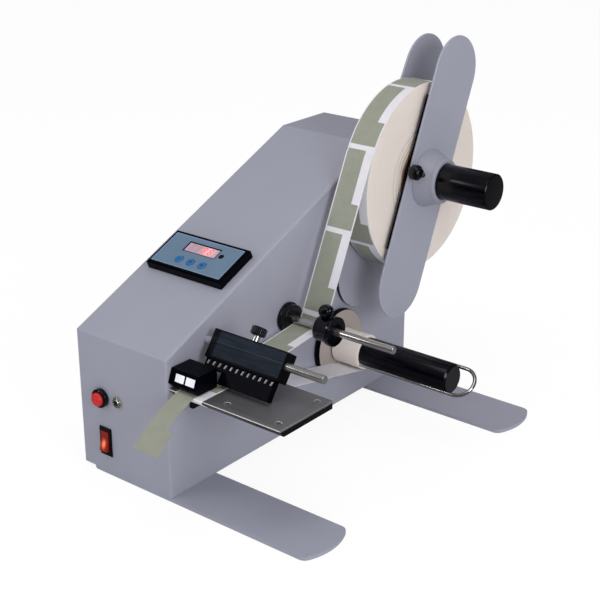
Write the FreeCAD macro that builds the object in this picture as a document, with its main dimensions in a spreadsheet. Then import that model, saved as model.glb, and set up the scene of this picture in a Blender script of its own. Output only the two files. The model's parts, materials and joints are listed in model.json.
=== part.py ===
import FreeCAD, Part
import math
import os
import re

import Sketcher

# Label dispenser with a supply reel, a press unit over a peel plate and a rewind mandrel.
# Row frame: +X to the mechanism side, +Y to the rear, +Z up. The origin lies on the table,
# under the mechanism wall and on the centre line of the front foot.
# Places are written from the housing datum: the outer face of the mechanism wall (x),
# the outer face of the front wall (y) and the underside of the housing (z).

SIZE_VALUES = {
    # Housing of folded sheet
    "housing_width": 124.0, "housing_depth": 402.0, "front_height": 150.0,
    "housing_height": 292.0, "top_run": 76.0, "sheet_gauge": 1.5, "bend_radius": 2.5,
    "tab_size": 12.0, "tab_gauge": 3.0, "tab_low": 26.0, "tab_drop": 38.0,
    "tab_inset": 16.0, "tab_end": 28.0, "tab_front_share": 0.3234,
    "tab_rear_share": 0.6965, "tab_rear_low": 30.0, "tab_rear_drop": 46.0,
    "vent_length": 52.0, "vent_height": 4.0, "vent_spacing": 10.0, "vent_count": 6.0,
    "vent_low": 150.0,
    # Feet
    "foot_gauge": 4.0, "foot_width": 66.0, "foot_left": 114.0, "foot_right": 167.0,
    "rear_foot_right": 177.0, "foot_corner": 9.0, "foot_bow": 9.0,
    "rear_foot_inset": 43.0, "foot_screw_left": 96.0,
    "foot_screw_right": 26.0, "foot_screw_spread": 40.0,
    # Screws
    "screw_radius": 2.0, "screw_head_radius": 3.6, "screw_head_height": 2.2,
    "fit_gap": 0.05, "part_gap": 0.3, "overrun": 1.0,
    # Peel plate and its support
    "plate_top": 120.0, "plate_front": 1.5, "plate_rear": 81.5, "plate_length": 138.0,
    "plate_gauge": 2.0, "support_gauge": 7.0, "support_front": 5.0, "support_bevel": 4.5,
    "support_lip": 1.8, "support_end": 1.0, "support_flange": 5.0,
    "support_flange_drop": 22.0, "support_flange_front": 30.0, "plate_screw_inset": 12.5,
    "plate_screw_near": 65.0, "plate_screw_end": 11.0, "plate_screw_radius": 1.5,
    "plate_screw_head": 3.3,
    # Paper web and labels
    "web_near": 10.0, "web_width": 34.0, "web_gauge": 0.25, "label_gauge": 0.15,
    "label_border": 1.5, "label_length": 84.5, "label_spacing": 90.0, "label_notch": 9.0,
    "label_notch_length": 57.0, "label_offset": 170.5, "feed_bend": 30.0,
    "feed_slack_share": 0.1, "tuck_share": 0.8,
    "peeled_length": 70.0, "peeled_radius": 170.0, "peeled_angle": 18.0,
    # Sensor head
    "sensor_width": 35.5, "sensor_front": 1.5, "sensor_rear": 33.0, "sensor_chin": 5.0,
    "sensor_base": 121.3, "sensor_brow": 127.0, "sensor_top": 141.0, "sensor_rake": 5.5,
    "lamp_width": 11.0, "lamp_height": 7.8, "lamp_gap": 2.4, "lamp_near": 8.4,
    "lamp_gauge": 0.6,
    # Press unit, in its own leaning frame about the press rod
    "press_y": 58.0, "press_z": 152.5, "press_angle": 35.3, "press_rod_radius": 4.2,
    "press_rod_end": 146.0, "rod_tail": 9.0, "channel_near": 10.0, "channel_length": 91.0,
    "channel_front": 6.8, "channel_up": 13.0, "channel_down": 16.4, "channel_deep": 16.0,
    "channel_gauge": 2.4, "comb_front": 6.0, "comb_gauge": 8.0, "comb_near": 36.0,
    "comb_tooth": 5.8, "comb_spacing": 7.2, "comb_slot_count": 12.0,
    "comb_slot_width": 4.4, "comb_end": 3.0, "comb_root": 4.0,
    "press_knob_radius": 7.8, "press_knob_height": 8.5, "press_stud_radius": 3.8,
    "press_stud_length": 6.0, "knurl_depth": 0.8, "knurl_count": 24.0,
    # Guide rod
    "guide_y": 181.0, "guide_z": 135.8, "guide_rod_radius": 4.0, "guide_rod_end": 137.5,
    "guide_disc_radius": 16.6, "guide_disc_gauge": 3.2, "guide_hub_radius": 14.8,
    "web_slack": 6.0, "slack_bend": 6.5,
    "collar_length": 15.0, "collar_disc_gauge": 5.9, "collar_disc_radius": 15.8,
    "collar_hub_radius": 13.6, "collar_knob_radius": 7.9, "collar_knob_reach": 19.6,
    # Round thumb screws
    "thumb_radius": 8.7, "thumb_reach": 23.0, "thumb_stud_radius": 3.0,
    "thumb_neck_radius": 4.6, "thumb_neck_length": 3.0,
    # Supply reel
    "reel_inset": 39.0, "reel_drop": 38.0, "spindle_radius": 8.0, "spindle_tail": 27.0,
    "supply_shaft_radius": 19.7, "supply_shaft_end": 135.0, "shaft_chamfer": 1.2,
    "paddle_near": 3.0, "paddle_gauge": 2.0, "paddle_half": 158.0, "paddle_width": 80.0,
    "inner_paddle_angle": 29.0, "outer_paddle_angle": 23.5, "paddle_clear": 5.6,
    "roll_radius": 104.0, "core_outer": 42.0, "core_inner": 38.0, "adapter_margin": 3.0,
    "hub_base_radius": 32.0, "hub_nose_radius": 24.6, "hub_length": 22.0,
    "hub_round": 3.0, "bearing_radius": 14.0, "bearing_flange": 21.0,
    "bearing_flange_gauge": 4.0, "bearing_length": 20.0, "bearing_lip": 1.2,
    # Rewind mandrel
    "disc_clear": 4.12, "mandrel_angle": 28.757, "mandrel_radius": 16.6,
    "mandrel_end": 154.5, "mandrel_chamfer": 2.4,
    "rewind_disc_radius": 39.5, "rewind_disc_near": 1.6, "rewind_disc_gauge": 6.4,
    "wrap_radius": 19.5, "rewind_spindle_radius": 5.0, "rewind_spindle_tail": 30.0,
    "clip_wire_radius": 2.0, "clip_reach": 16.4, "clip_angle": 38.0, "clip_near": 11.5,
    "clip_straight": 162.7, "rewind_bearing_radius": 11.0, "rewind_bearing_flange": 16.0,
    # Drive
    "motor_spacing": 75.0, "motor_z": 62.0, "motor_radius": 18.5, "motor_length": 58.0,
    "motor_shaft_radius": 3.0, "pulley_near": 15.0, "pulley_width": 10.0,
    "pulley_flange": 1.2, "pulley_rim": 3.0, "drive_pulley_radius": 20.0,
    "motor_pulley_radius": 10.0, "belt_gauge": 1.4, "bracket_near": 29.0,
    "bracket_gauge": 2.5, "bracket_size": 70.0, "standoff_radius": 3.5,
    "standoff_inset": 6.0,
    # Inside electrics
    "supply_box_length": 110.0, "supply_box_width": 50.0, "supply_box_height": 38.0,
    "supply_box_y": 150.0, "supply_box_left": 112.0, "board_length": 100.0,
    "board_width": 70.0, "board_gauge": 1.6, "board_lift": 8.0, "board_y": 34.0,
    "board_left": 106.0, "board_post": 3.0, "chip_size": 14.0, "chip_height": 3.0,
    "relay_size": 18.0, "relay_height": 15.0,
    "inlet_width": 27.0, "inlet_height": 20.0, "inlet_z": 42.0, "inlet_flange": 6.0,
    "inlet_flange_gauge": 2.0, "inlet_depth": 16.0, "inlet_well": 10.0, "inlet_rim": 2.0,
    # Counter panel on the slope
    "panel_width": 101.0, "panel_height": 52.5, "panel_thick": 9.5, "panel_line": 127.8,
    "panel_bevel": 1.4, "face_width": 94.0, "face_height": 44.9, "face_gauge": 1.0,
    "window_width": 41.5, "window_height": 12.5, "window_line": 8.0, "key_line": 11.5,
    "key_spacing": 15.7, "key_radius": 4.8, "key_gauge": 2.4, "key_proud": 0.6,
    "key_travel": 0.6, "case_width": 90.0, "case_height": 42.0, "case_depth": 62.0,
    # Front controls
    "button_x": 92.5, "button_z": 83.0, "button_radius": 7.2, "button_proud": 10.0,
    "button_sunk": 3.0, "button_travel": 3.0, "button_stem_radius": 3.0,
    "button_round": 2.2, "collar_radius": 10.0, "collar_proud": 6.0, "collar_depth": 20.0,
    "collar_wall": 1.0, "jack_x": 69.8, "jack_z": 84.3, "jack_nut_radius": 5.8,
    "jack_nut_gauge": 2.4, "jack_barrel_radius": 3.9, "jack_proud": 3.4,
    "jack_bore_radius": 1.8, "jack_bore_depth": 14.0, "jack_depth": 15.0,
    "rocker_x": 89.7, "rocker_z": 34.3, "rocker_bezel_width": 16.3,
    "rocker_bezel_height": 31.5, "rocker_bezel_gauge": 2.0, "rocker_body_width": 13.6,
    "rocker_body_height": 27.6, "rocker_body_depth": 16.0, "rocker_width": 10.6,
    "rocker_height": 22.0, "rocker_front": 6.6, "rocker_dip": 1.6, "rocker_back": 4.0,
    "rocker_angle": 8.0, "rocker_pivot_depth": 2.0, "rocker_pin_radius": 1.2,
}

# Sizes that follow from the ones above, so that the pieces keep together
WORKED_OUT = {
    "slope_run": "housing_depth - top_run",
    "tab_high": "front_height - tab_drop",
    "tab_top_front": "slope_run + tab_inset",
    "tab_top_rear": "housing_depth - tab_end",
    "tab_base_front": "housing_depth * tab_front_share",
    "tab_base_rear": "housing_depth * tab_rear_share",
    "tab_rear_high": "housing_height - tab_rear_drop",
    "rear_foot_line": "housing_depth - rear_foot_inset",
    "reel_y": "housing_depth - reel_inset",
    "reel_z": "housing_height - reel_drop",
    "mandrel_reach": "paddle_half + rewind_disc_radius + disc_clear",
    "mandrel_y": "reel_y - mandrel_reach * sin(mandrel_angle)",
    "mandrel_z": "reel_z - mandrel_reach * cos(mandrel_angle)",
    "motor_y": "mandrel_y - motor_spacing",
}

DOC = FreeCAD.newDocument("label_dispenser")
BOOK = DOC.addObject("Spreadsheet::Sheet", "Sizes")
for row, (alias, value) in enumerate(SIZE_VALUES.items(), start=1):
    BOOK.set("A%d" % row, alias)
    BOOK.set("B%d" % row, str(value))
    BOOK.setAlias("B%d" % row, alias)
DOC.recompute()

ALIAS_PATTERN = re.compile(r"\b(%s)\b" % "|".join(sorted(SIZE_VALUES, key=len, reverse=True)))
WORKED_PATTERN = re.compile(r"\b(%s)\b" % "|".join(sorted(WORKED_OUT, key=len, reverse=True)))
PARTS = []

# Written sizes that several pieces share
SLOPE = "((housing_height - front_height) / slope_run)"
SLOPE_SKEW = "sqrt(1 + %s ^ 2)" % SLOPE
WEB_FAR = "(web_near + web_width)"
OUTER_PADDLE_NEAR = "(web_near + web_width + paddle_clear)"
HUB_NEAR = "(%s + paddle_gauge)" % OUTER_PADDLE_NEAR
HUB_FAR = "(%s + hub_length)" % HUB_NEAR
COLLAR_NEAR = "(%s + part_gap)" % WEB_FAR
COLLAR_STEP = "(%s + collar_length)" % COLLAR_NEAR
COLLAR_FAR = "(%s + collar_disc_gauge)" % COLLAR_STEP
SUPPORT_TOP = "(plate_top - plate_gauge)"
SUPPORT_BASE = "(plate_top - plate_gauge - support_gauge)"
INNER_LEFT = "(sheet_gauge - housing_width)"
PANEL_MIDDLE = "(housing_width / 2)"
COMB_FOOT = ("((press_z - plate_top - fit_gap - web_gauge - label_gauge - part_gap"
             " - (comb_gauge - comb_front) * sin(press_angle)) / cos(press_angle))")


def linked(written):
    """Written size with every name turned into its cell of the sheet."""
    while WORKED_PATTERN.search(written):
        written = WORKED_PATTERN.sub(lambda found: "(%s)" % WORKED_OUT[found.group(1)], written)
    return ALIAS_PATTERN.sub(lambda found: "Sizes." + found.group(1), written)


def number(written):
    """Value of a written size."""
    value = BOOK.evalExpression(linked(written))
    return float(getattr(value, "Value", value))


def vector(across, up):
    return FreeCAD.Vector(number(across), number(up), 0)


def bind(thing, prop, written):
    thing.setExpression(prop, linked(written))


def seat(thing, label, x="0", y="0", z="0", axis=None, angle=None):
    """Names a finished piece and places it from the housing datum."""
    thing.Label = label
    if axis is not None:
        turn = FreeCAD.Rotation(FreeCAD.Vector(*axis), number(angle))
        thing.Placement = FreeCAD.Placement(FreeCAD.Vector(0, 0, 0), turn)
        bind(thing, "Placement.Rotation.Angle", angle)
    bind(thing, "Placement.Base.x", x)
    bind(thing, "Placement.Base.y", "%s - foot_width / 2" % y)
    bind(thing, "Placement.Base.z", "%s + foot_gauge" % z)
    PARTS.append(thing)
    return thing


def new_body(name):
    return DOC.addObject("PartDesign::Body", name)


def sketch_on(body, plane, offset="0"):
    """Sketch on an origin plane of its own body, moved along the plane's normal."""
    sketch = body.newObject("Sketcher::SketchObject", body.Name + "_sketch")
    support = next(item for item in body.Origin.OriginFeatures if item.Role == plane)
    sketch.AttachmentSupport = [(support, "")]
    sketch.MapMode = "FlatFace"
    bind(sketch, "AttachmentOffset.Base.z", offset)
    return sketch


def fix_point(sketch, geometry, end, across, up):
    """Holds one end of a line, or a centre, at a written place."""
    for axis, written in (("X", across), ("Y", up)):
        rule = Sketcher.Constraint("Distance" + axis, geometry, end, number(written))
        index = sketch.addConstraint(rule)
        name = "at_%s_%d_%d" % (axis.lower(), geometry, end)
        sketch.renameConstraint(index, name)
        bind(sketch, "Constraints." + name, written)


def fix_radius(sketch, geometry, written):
    index = sketch.addConstraint(Sketcher.Constraint("Radius", geometry, number(written)))
    name = "radius_%d" % geometry
    sketch.renameConstraint(index, name)
    bind(sketch, "Constraints." + name, written)


def bowed_edge(start, end, radius):
    """Arc from start to end that bulges to the right of the way."""
    chord = end - start
    middle = (start + end) * 0.5
    rise = math.sqrt(max(radius ** 2 - (chord.Length / 2) ** 2, 0))
    left = FreeCAD.Vector(-chord.y, chord.x, 0)
    left.normalize()
    centre = middle + left * rise
    first = math.atan2(start.y - centre.y, start.x - centre.x)
    last = math.atan2(end.y - centre.y, end.x - centre.x)
    if last < first:
        last += 2 * math.pi
    circle = Part.Circle(centre, FreeCAD.Vector(0, 0, 1), radius)
    return Part.ArcOfCircle(circle, first, last)


def outline(sketch, corners):
    """Closed outline, counterclockwise. A corner's third value bows its next edge."""
    points = [vector(corner[0], corner[1]) for corner in corners]
    first = sketch.GeometryCount
    count = len(corners)
    for index, corner in enumerate(corners):
        start = points[index]
        end = points[(index + 1) % count]
        bows = corner[2:]
        if bows:
            sketch.addGeometry(bowed_edge(start, end, number(bows[0])), False)
        else:
            sketch.addGeometry(Part.LineSegment(start, end), False)
    for index, corner in enumerate(corners):
        here = first + index
        after = first + (index + 1) % count
        sketch.addConstraint(Sketcher.Constraint("Coincident", here, 2, after, 1))
        fix_point(sketch, here, 1, corner[0], corner[1])
        for bow in corner[2:]:
            fix_radius(sketch, here, bow)


def box_outline(sketch, left, right, low, high):
    outline(sketch, [(left, low), (right, low), (right, high), (left, high)])


def ring(sketch, across, up, radius):
    """Circle of a written radius at a written place."""
    circle = Part.Circle(vector(across, up), FreeCAD.Vector(0, 0, 1), number(radius))
    index = sketch.addGeometry(circle, False)
    fix_point(sketch, index, 3, across, up)
    fix_radius(sketch, index, radius)


def grow(body, sketch, length, backwards=False):
    """Pad of a sketch."""
    pad = body.newObject("PartDesign::Pad", body.Name + "_pad")
    pad.Profile = sketch
    pad.Reversed = backwards
    bind(pad, "Length", length)
    DOC.recompute()
    return pad


def cut(body, sketch, depth, backwards=False):
    """Pocket of a sketch, which has to take material away."""
    before = body.Shape.Volume
    pocket = body.newObject("PartDesign::Pocket", body.Name + "_pocket")
    pocket.Profile = sketch
    pocket.Reversed = backwards
    bind(pocket, "Length", depth)
    DOC.recompute()
    if body.Shape.Volume >= before:
        raise RuntimeError("pocket cuts nothing in " + body.Name)
    return pocket


def edges_at(body, test):
    """Names of the edges whose middle point and direction pass a test."""
    names = []
    for index, edge in enumerate(body.Tip.Shape.Edges, start=1):
        middle = edge.valueAt((edge.FirstParameter + edge.LastParameter) / 2)
        way = edge.tangentAt((edge.FirstParameter + edge.LastParameter) / 2)
        if test(middle, way):
            names.append("Edge%d" % index)
    return names


def soften(body, names, radius):
    """Fillet on named edges of the body so far."""
    if not names:
        raise RuntimeError("no edge found in " + body.Name)
    base = body.Tip
    feature = body.newObject("PartDesign::Fillet", body.Name + "_fillet")
    feature.Base = (base, names)
    bind(feature, "Radius", radius)
    DOC.recompute()


def bevel(body, names, size):
    """Chamfer on named edges of the body so far."""
    if not names:
        raise RuntimeError("no edge found in " + body.Name)
    base = body.Tip
    feature = body.newObject("PartDesign::Chamfer", body.Name + "_chamfer")
    feature.Base = (base, names)
    bind(feature, "Size", size)
    DOC.recompute()


def near(value, written):
    return abs(value - number(written)) < number("fit_gap") / 5


def turned(name, corners):
    """Piece turned about X. Each corner is a place along X and a radius."""
    body = new_body(name)
    sketch = sketch_on(body, "XY_Plane")
    outline(sketch, corners)
    spin = body.newObject("PartDesign::Revolution", name + "_spin")
    spin.Profile = sketch
    spin.ReferenceAxis = (sketch, ["H_Axis"])
    DOC.recompute()
    return body


def cylinder(name, radius, length, x="0", y="0", z="0", angle=None):
    """Cylinder along X from a written place, or a sector of one."""
    piece = DOC.addObject("Part::Cylinder", name)
    lying = FreeCAD.Rotation(FreeCAD.Vector(0, 1, 0), 90)
    piece.Placement = FreeCAD.Placement(FreeCAD.Vector(0, 0, 0), lying)
    bind(piece, "Radius", radius)
    bind(piece, "Height", length)
    bind(piece, "Placement.Base.x", x)
    bind(piece, "Placement.Base.y", y)
    bind(piece, "Placement.Base.z", z)
    return piece


def block(name, length, width, height, x="0", y="0", z="0"):
    piece = DOC.addObject("Part::Box", name)
    bind(piece, "Length", length)
    bind(piece, "Width", width)
    bind(piece, "Height", height)
    bind(piece, "Placement.Base.x", x)
    bind(piece, "Placement.Base.y", y)
    bind(piece, "Placement.Base.z", z)
    return piece


def joined(name, pieces):
    whole = DOC.addObject("Part::MultiFuse", name)
    whole.Shapes = pieces
    whole.Refine = True
    return whole


def less(name, base, tool):
    rest = DOC.addObject("Part::Cut", name)
    rest.Base = base
    rest.Tool = tool
    return rest


def finished(label, shape, x="0"):
    """Free-form piece or group, placed from the housing datum after its shape."""
    piece = DOC.addObject("Part::Feature", label)
    piece.Shape = shape
    return seat(piece, label, x=x)


# Housing

def side_corners():
    return [("0", "0"), ("housing_depth", "0"), ("housing_depth", "housing_height"),
            ("slope_run", "housing_height"), ("0", "front_height")]


def outer_edges(body, face_x):
    """Edges along the front, slope and top of one side face."""
    def on_side(middle, way):
        along_side = abs(way.x) < number("fit_gap")
        on_face = near(middle.x, face_x)
        on_front = near(middle.y, "0")
        on_slope = middle.z > number("front_height")
        on_rear = near(middle.y, "housing_depth")
        return along_side and on_face and (on_front or on_slope) and not on_rear
    return edges_at(body, on_side)


def fold_edges(body):
    """Edges along X at the top of the front wall and at the top of the slope."""
    def on_fold(middle, way):
        along_x = abs(way.x) > 1 - number("fit_gap")
        front_fold = near(middle.y, "0") and near(middle.z, "front_height")
        top_fold = near(middle.y, "slope_run") and near(middle.z, "housing_height")
        return along_x and (front_fold or top_fold)
    return edges_at(body, on_fold)


def housing_shell():
    """Mechanism wall, front, slope and top as one welded shell, open left, rear and below."""
    body = new_body("housing_shell")
    side = sketch_on(body, "YZ_Plane")
    outline(side, side_corners())
    grow(body, side, "housing_width - sheet_gauge", backwards=True)
    soften(body, fold_edges(body), "bend_radius")
    soften(body, outer_edges(body, "0"), "bend_radius")

    hollow = sketch_on(body, "YZ_Plane", INNER_LEFT + " - overrun")
    inner_top = "housing_height - sheet_gauge"
    inner_front = "front_height + sheet_gauge * %s - sheet_gauge * %s" % (SLOPE, SLOPE_SKEW)
    inner_run = ("(housing_height - front_height + sheet_gauge * (%s - 1)) / %s"
                 % (SLOPE_SKEW, SLOPE))
    outline(hollow, [("sheet_gauge", "-overrun"),
                     ("housing_depth + overrun", "-overrun"),
                     ("housing_depth + overrun", inner_top),
                     (inner_run, inner_top), ("sheet_gauge", inner_front)])
    cut(body, hollow, "housing_width - 2 * sheet_gauge + overrun", backwards=True)

    tabs = sketch_on(body, "YZ_Plane", INNER_LEFT)
    for low in ("tab_low", "tab_high"):
        box_outline(tabs, "sheet_gauge", "sheet_gauge + tab_size", low, low + " + tab_size")
    for start in ("tab_top_front", "tab_top_rear"):
        box_outline(tabs, start, start + " + tab_size", inner_top + " - tab_size", inner_top)
    grow(body, tabs, "tab_gauge")

    rear_tabs = sketch_on(body, "XZ_Plane", "sheet_gauge - housing_depth")
    for low in ("tab_rear_low", "tab_rear_high"):
        box_outline(rear_tabs, "-sheet_gauge - tab_size", "-sheet_gauge", low,
                    low + " + tab_size")
    grow(body, rear_tabs, "tab_gauge")

    wall_holes = sketch_on(body, "YZ_Plane", "overrun")
    ring(wall_holes, "reel_y", "reel_z", "bearing_radius + fit_gap")
    ring(wall_holes, "mandrel_y", "mandrel_z", "rewind_bearing_radius + fit_gap")
    ring(wall_holes, "guide_y", "guide_z", "guide_rod_radius + fit_gap")
    ring(wall_holes, "press_y", "press_z", "press_rod_radius + fit_gap")
    cut(body, wall_holes, "sheet_gauge + 2 * overrun")

    front_holes = sketch_on(body, "XZ_Plane", "overrun")
    ring(front_holes, "-button_x", "button_z", "button_radius + part_gap + collar_wall + fit_gap")
    ring(front_holes, "-jack_x", "jack_z", "jack_barrel_radius + fit_gap")
    rocker_half = "rocker_body_width / 2 + fit_gap"
    rocker_tall = "rocker_body_height / 2 + fit_gap"
    box_outline(front_holes, "-rocker_x - (%s)" % rocker_half, "-rocker_x + " + rocker_half,
                "rocker_z - (%s)" % rocker_tall, "rocker_z + " + rocker_tall)
    cut(body, front_holes, "sheet_gauge + 2 * overrun")

    panel_hole = sketch_on(body, "XY_Plane")
    on_slope(panel_hole)
    box_outline(panel_hole, "-%s - case_width / 2 - fit_gap" % PANEL_MIDDLE,
                "-%s + case_width / 2 + fit_gap" % PANEL_MIDDLE,
                "panel_line - case_height / 2 - fit_gap",
                "panel_line + case_height / 2 + fit_gap")
    cut(body, panel_hole, "sheet_gauge + 2 * overrun")

    tab_holes = sketch_on(body, "YZ_Plane", INNER_LEFT + " + tab_gauge + overrun")
    for y, z in cover_screw_places()[:4]:
        ring(tab_holes, y, z, "screw_radius + fit_gap")
    cut(body, tab_holes, "tab_gauge + 2 * overrun")

    rear_holes = sketch_on(body, "XZ_Plane", "-housing_depth - overrun")
    for x, z in rear_screw_places()[:2]:
        ring(rear_holes, x, z, "screw_radius + fit_gap")
    cut(body, rear_holes, "sheet_gauge + tab_gauge + 2 * overrun", backwards=True)
    return seat(body, "housing_shell")


def on_slope(sketch):
    """Turns a sketch on the XY plane into the plane just above the slope."""
    lean = FreeCAD.Rotation(FreeCAD.Vector(1, 0, 0), number("atan(%s)" % SLOPE))
    sketch.AttachmentOffset = FreeCAD.Placement(FreeCAD.Vector(0, 0, 0), lean)
    bind(sketch, "AttachmentOffset.Rotation.Angle", "atan(%s)" % SLOPE)
    bind(sketch, "AttachmentOffset.Base.y", "-overrun * %s / %s" % (SLOPE, SLOPE_SKEW))
    bind(sketch, "AttachmentOffset.Base.z", "front_height + overrun / " + SLOPE_SKEW)


def cover_screw_places():
    """Middles of the tabs behind the left cover: four on the shell, two on the base."""
    half = " + tab_size / 2"
    top = "housing_height - sheet_gauge - tab_size / 2"
    return [("sheet_gauge" + half, "tab_low" + half), ("sheet_gauge" + half, "tab_high" + half),
            ("tab_top_front" + half, top), ("tab_top_rear" + half, top),
            ("tab_base_front" + half, "sheet_gauge" + half),
            ("tab_base_rear" + half, "sheet_gauge" + half)]


def rear_screw_places():
    """Middles of the tabs in front of the rear panel: two on each side."""
    right = "-sheet_gauge - tab_size / 2"
    left = "sheet_gauge - housing_width + tab_size / 2"
    low = "tab_rear_low + tab_size / 2"
    high = "tab_rear_high + tab_size / 2"
    return [(right, low), (right, high), (left, low), (left, high)]


def left_cover():
    """Flat side cover with two tabs for the rear panel."""
    body = new_body("left_cover")
    side = sketch_on(body, "YZ_Plane", "-housing_width")
    outline(side, side_corners())
    grow(body, side, "sheet_gauge")
    soften(body, outer_edges(body, "-housing_width"), "sheet_gauge * 0.6")
    tabs = sketch_on(body, "XZ_Plane", "sheet_gauge - housing_depth")
    for low in ("tab_rear_low", "tab_rear_high"):
        box_outline(tabs, INNER_LEFT, INNER_LEFT + " + tab_size", low, low + " + tab_size")
    grow(body, tabs, "tab_gauge")
    holes = sketch_on(body, "YZ_Plane", INNER_LEFT + " + overrun")
    for y, z in cover_screw_places():
        ring(holes, y, z, "screw_radius + fit_gap")
    cut(body, holes, "sheet_gauge + 2 * overrun")
    rear_holes = sketch_on(body, "XZ_Plane", "-housing_depth - overrun")
    for x, z in rear_screw_places()[2:]:
        ring(rear_holes, x, z, "screw_radius + fit_gap")
    cut(body, rear_holes, "sheet_gauge + tab_gauge + 2 * overrun", backwards=True)
    return seat(body, "left_cover")


def rear_panel():
    """Flat rear panel between the side walls, with vent slots and the inlet's hole."""
    body = new_body("rear_panel")
    face = sketch_on(body, "XZ_Plane", "-housing_depth")
    box_outline(face, INNER_LEFT, "-sheet_gauge", "sheet_gauge",
                "housing_height - sheet_gauge")
    grow(body, face, "sheet_gauge")
    holes = sketch_on(body, "XZ_Plane", "-housing_depth - overrun")
    middle = "-housing_width / 2"
    box_outline(holes, middle + " - inlet_width / 2 - fit_gap",
                middle + " + inlet_width / 2 + fit_gap",
                "inlet_z - inlet_height / 2 - fit_gap", "inlet_z + inlet_height / 2 + fit_gap")
    for x, z in rear_screw_places():
        ring(holes, x, z, "screw_radius + fit_gap")
    cut(body, holes, "sheet_gauge + 2 * overrun", backwards=True)
    slot = sketch_on(body, "XZ_Plane", "-housing_depth - overrun")
    box_outline(slot, middle + " - vent_length / 2", middle + " + vent_length / 2",
                "vent_low", "vent_low + vent_height")
    first = cut(body, slot, "sheet_gauge + 2 * overrun", backwards=True)
    row = body.newObject("PartDesign::LinearPattern", "vent_row")
    row.Originals = [first]
    row.Direction = (slot, ["V_Axis"])
    bind(row, "Length", "vent_spacing * (vent_count - 1)")
    bind(row, "Occurrences", "vent_count")
    body.Tip = row
    DOC.recompute()
    return seat(body, "rear_panel")


def base_plate():
    """Floor of the housing with two upright tabs for the left cover."""
    body = new_body("base_plate")
    floor = sketch_on(body, "XY_Plane")
    box_outline(floor, INNER_LEFT, "-sheet_gauge", "sheet_gauge",
                "housing_depth")
    grow(body, floor, "sheet_gauge")
    tabs = sketch_on(body, "YZ_Plane", INNER_LEFT)
    for start in ("tab_base_front", "tab_base_rear"):
        box_outline(tabs, start, start + " + tab_size", "sheet_gauge",
                    "sheet_gauge + tab_size")
    grow(body, tabs, "tab_gauge")
    tab_holes = sketch_on(body, "YZ_Plane", INNER_LEFT + " + tab_gauge + overrun")
    for y, z in cover_screw_places()[4:]:
        ring(tab_holes, y, z, "screw_radius + fit_gap")
    cut(body, tab_holes, "tab_gauge + 2 * overrun")
    screw_holes = sketch_on(body, "XY_Plane", "sheet_gauge + overrun")
    for line in ("foot_width / 2", "rear_foot_line"):
        for x, y in foot_screw_places(line):
            ring(screw_holes, x, y, "screw_radius + fit_gap")
    cut(body, screw_holes, "sheet_gauge + 2 * overrun")
    return seat(body, "base_plate")


def foot_screw_places(line):
    places = []
    for x in ("-foot_screw_left", "-foot_screw_right"):
        for side in ("-", "+"):
            places.append((x, "%s %s foot_screw_spread / 2" % (line, side)))
    return places


def foot(label, line, right):
    """Flat steel bar under the housing whose free end is a shallow bow."""
    body = new_body(label)
    plan = sketch_on(body, "XY_Plane", "-foot_gauge")
    bow = "((foot_width / 2) ^ 2 + foot_bow ^ 2) / (2 * foot_bow)"
    low = line + " - foot_width / 2"
    high = line + " + foot_width / 2"
    outline(plan, [("-foot_left", low), (right, low, bow), (right, high),
                   ("-foot_left", high)])
    grow(body, plan, "foot_gauge")
    corners = edges_at(body, lambda middle, way: abs(way.z) > 1 - number("fit_gap"))
    soften(body, corners, "foot_corner")
    holes = sketch_on(body, "XY_Plane", "overrun")
    for x, y in foot_screw_places(line):
        ring(holes, x, y, "screw_radius + fit_gap")
    cut(body, holes, "foot_gauge + 2 * overrun")
    return seat(body, label)


def screw_shape(length):
    """Button-head screw standing on the XY plane with its shank pointing down."""
    shank = Part.makeCylinder(number("screw_radius"), number(length),
                              FreeCAD.Vector(0, 0, -number(length)))
    head = Part.makeCylinder(number("screw_head_radius"), number("screw_head_height"))
    rim = [edge for edge in head.Edges if edge.BoundBox.ZMin > number("fit_gap")]
    head = head.makeFillet(number("screw_head_height * 0.6"), rim[:1])
    socket = Part.makeCylinder(number("screw_radius * 0.55"), number("screw_head_height"),
                               FreeCAD.Vector(0, 0, number("screw_head_height / 2")))
    return shank.fuse(head).cut(socket)


def screw_group(label, length, places, way):
    """Equal screws at places of the housing datum, their heads facing one way."""
    turn = FreeCAD.Rotation(FreeCAD.Vector(0, 0, 1), FreeCAD.Vector(*way))
    copies = []
    for place in places:
        copy = screw_shape(length)
        point = FreeCAD.Vector(*[number(written) for written in place])
        copy.Placement = FreeCAD.Placement(point, turn)
        copies.append(copy)
    return copies


def cover_screws():
    side = [("-housing_width", y, z) for y, z in cover_screw_places()]
    rear = [(x, "housing_depth", z) for x, z in rear_screw_places()]
    length = "sheet_gauge + tab_gauge"
    screws = screw_group("side", length, side, (-1, 0, 0))
    screws += screw_group("rear", length, rear, (0, 1, 0))
    return finished("cover_screws", Part.makeCompound(screws))


def foot_screws():
    places = []
    for line in ("foot_width / 2", "rear_foot_line"):
        places += [(x, y, "sheet_gauge") for x, y in foot_screw_places(line)]
    length = "sheet_gauge + foot_gauge - part_gap"
    return finished("foot_screws", Part.makeCompound(screw_group("foot", length, places, (0, 0, 1))))


# Peel plate

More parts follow.
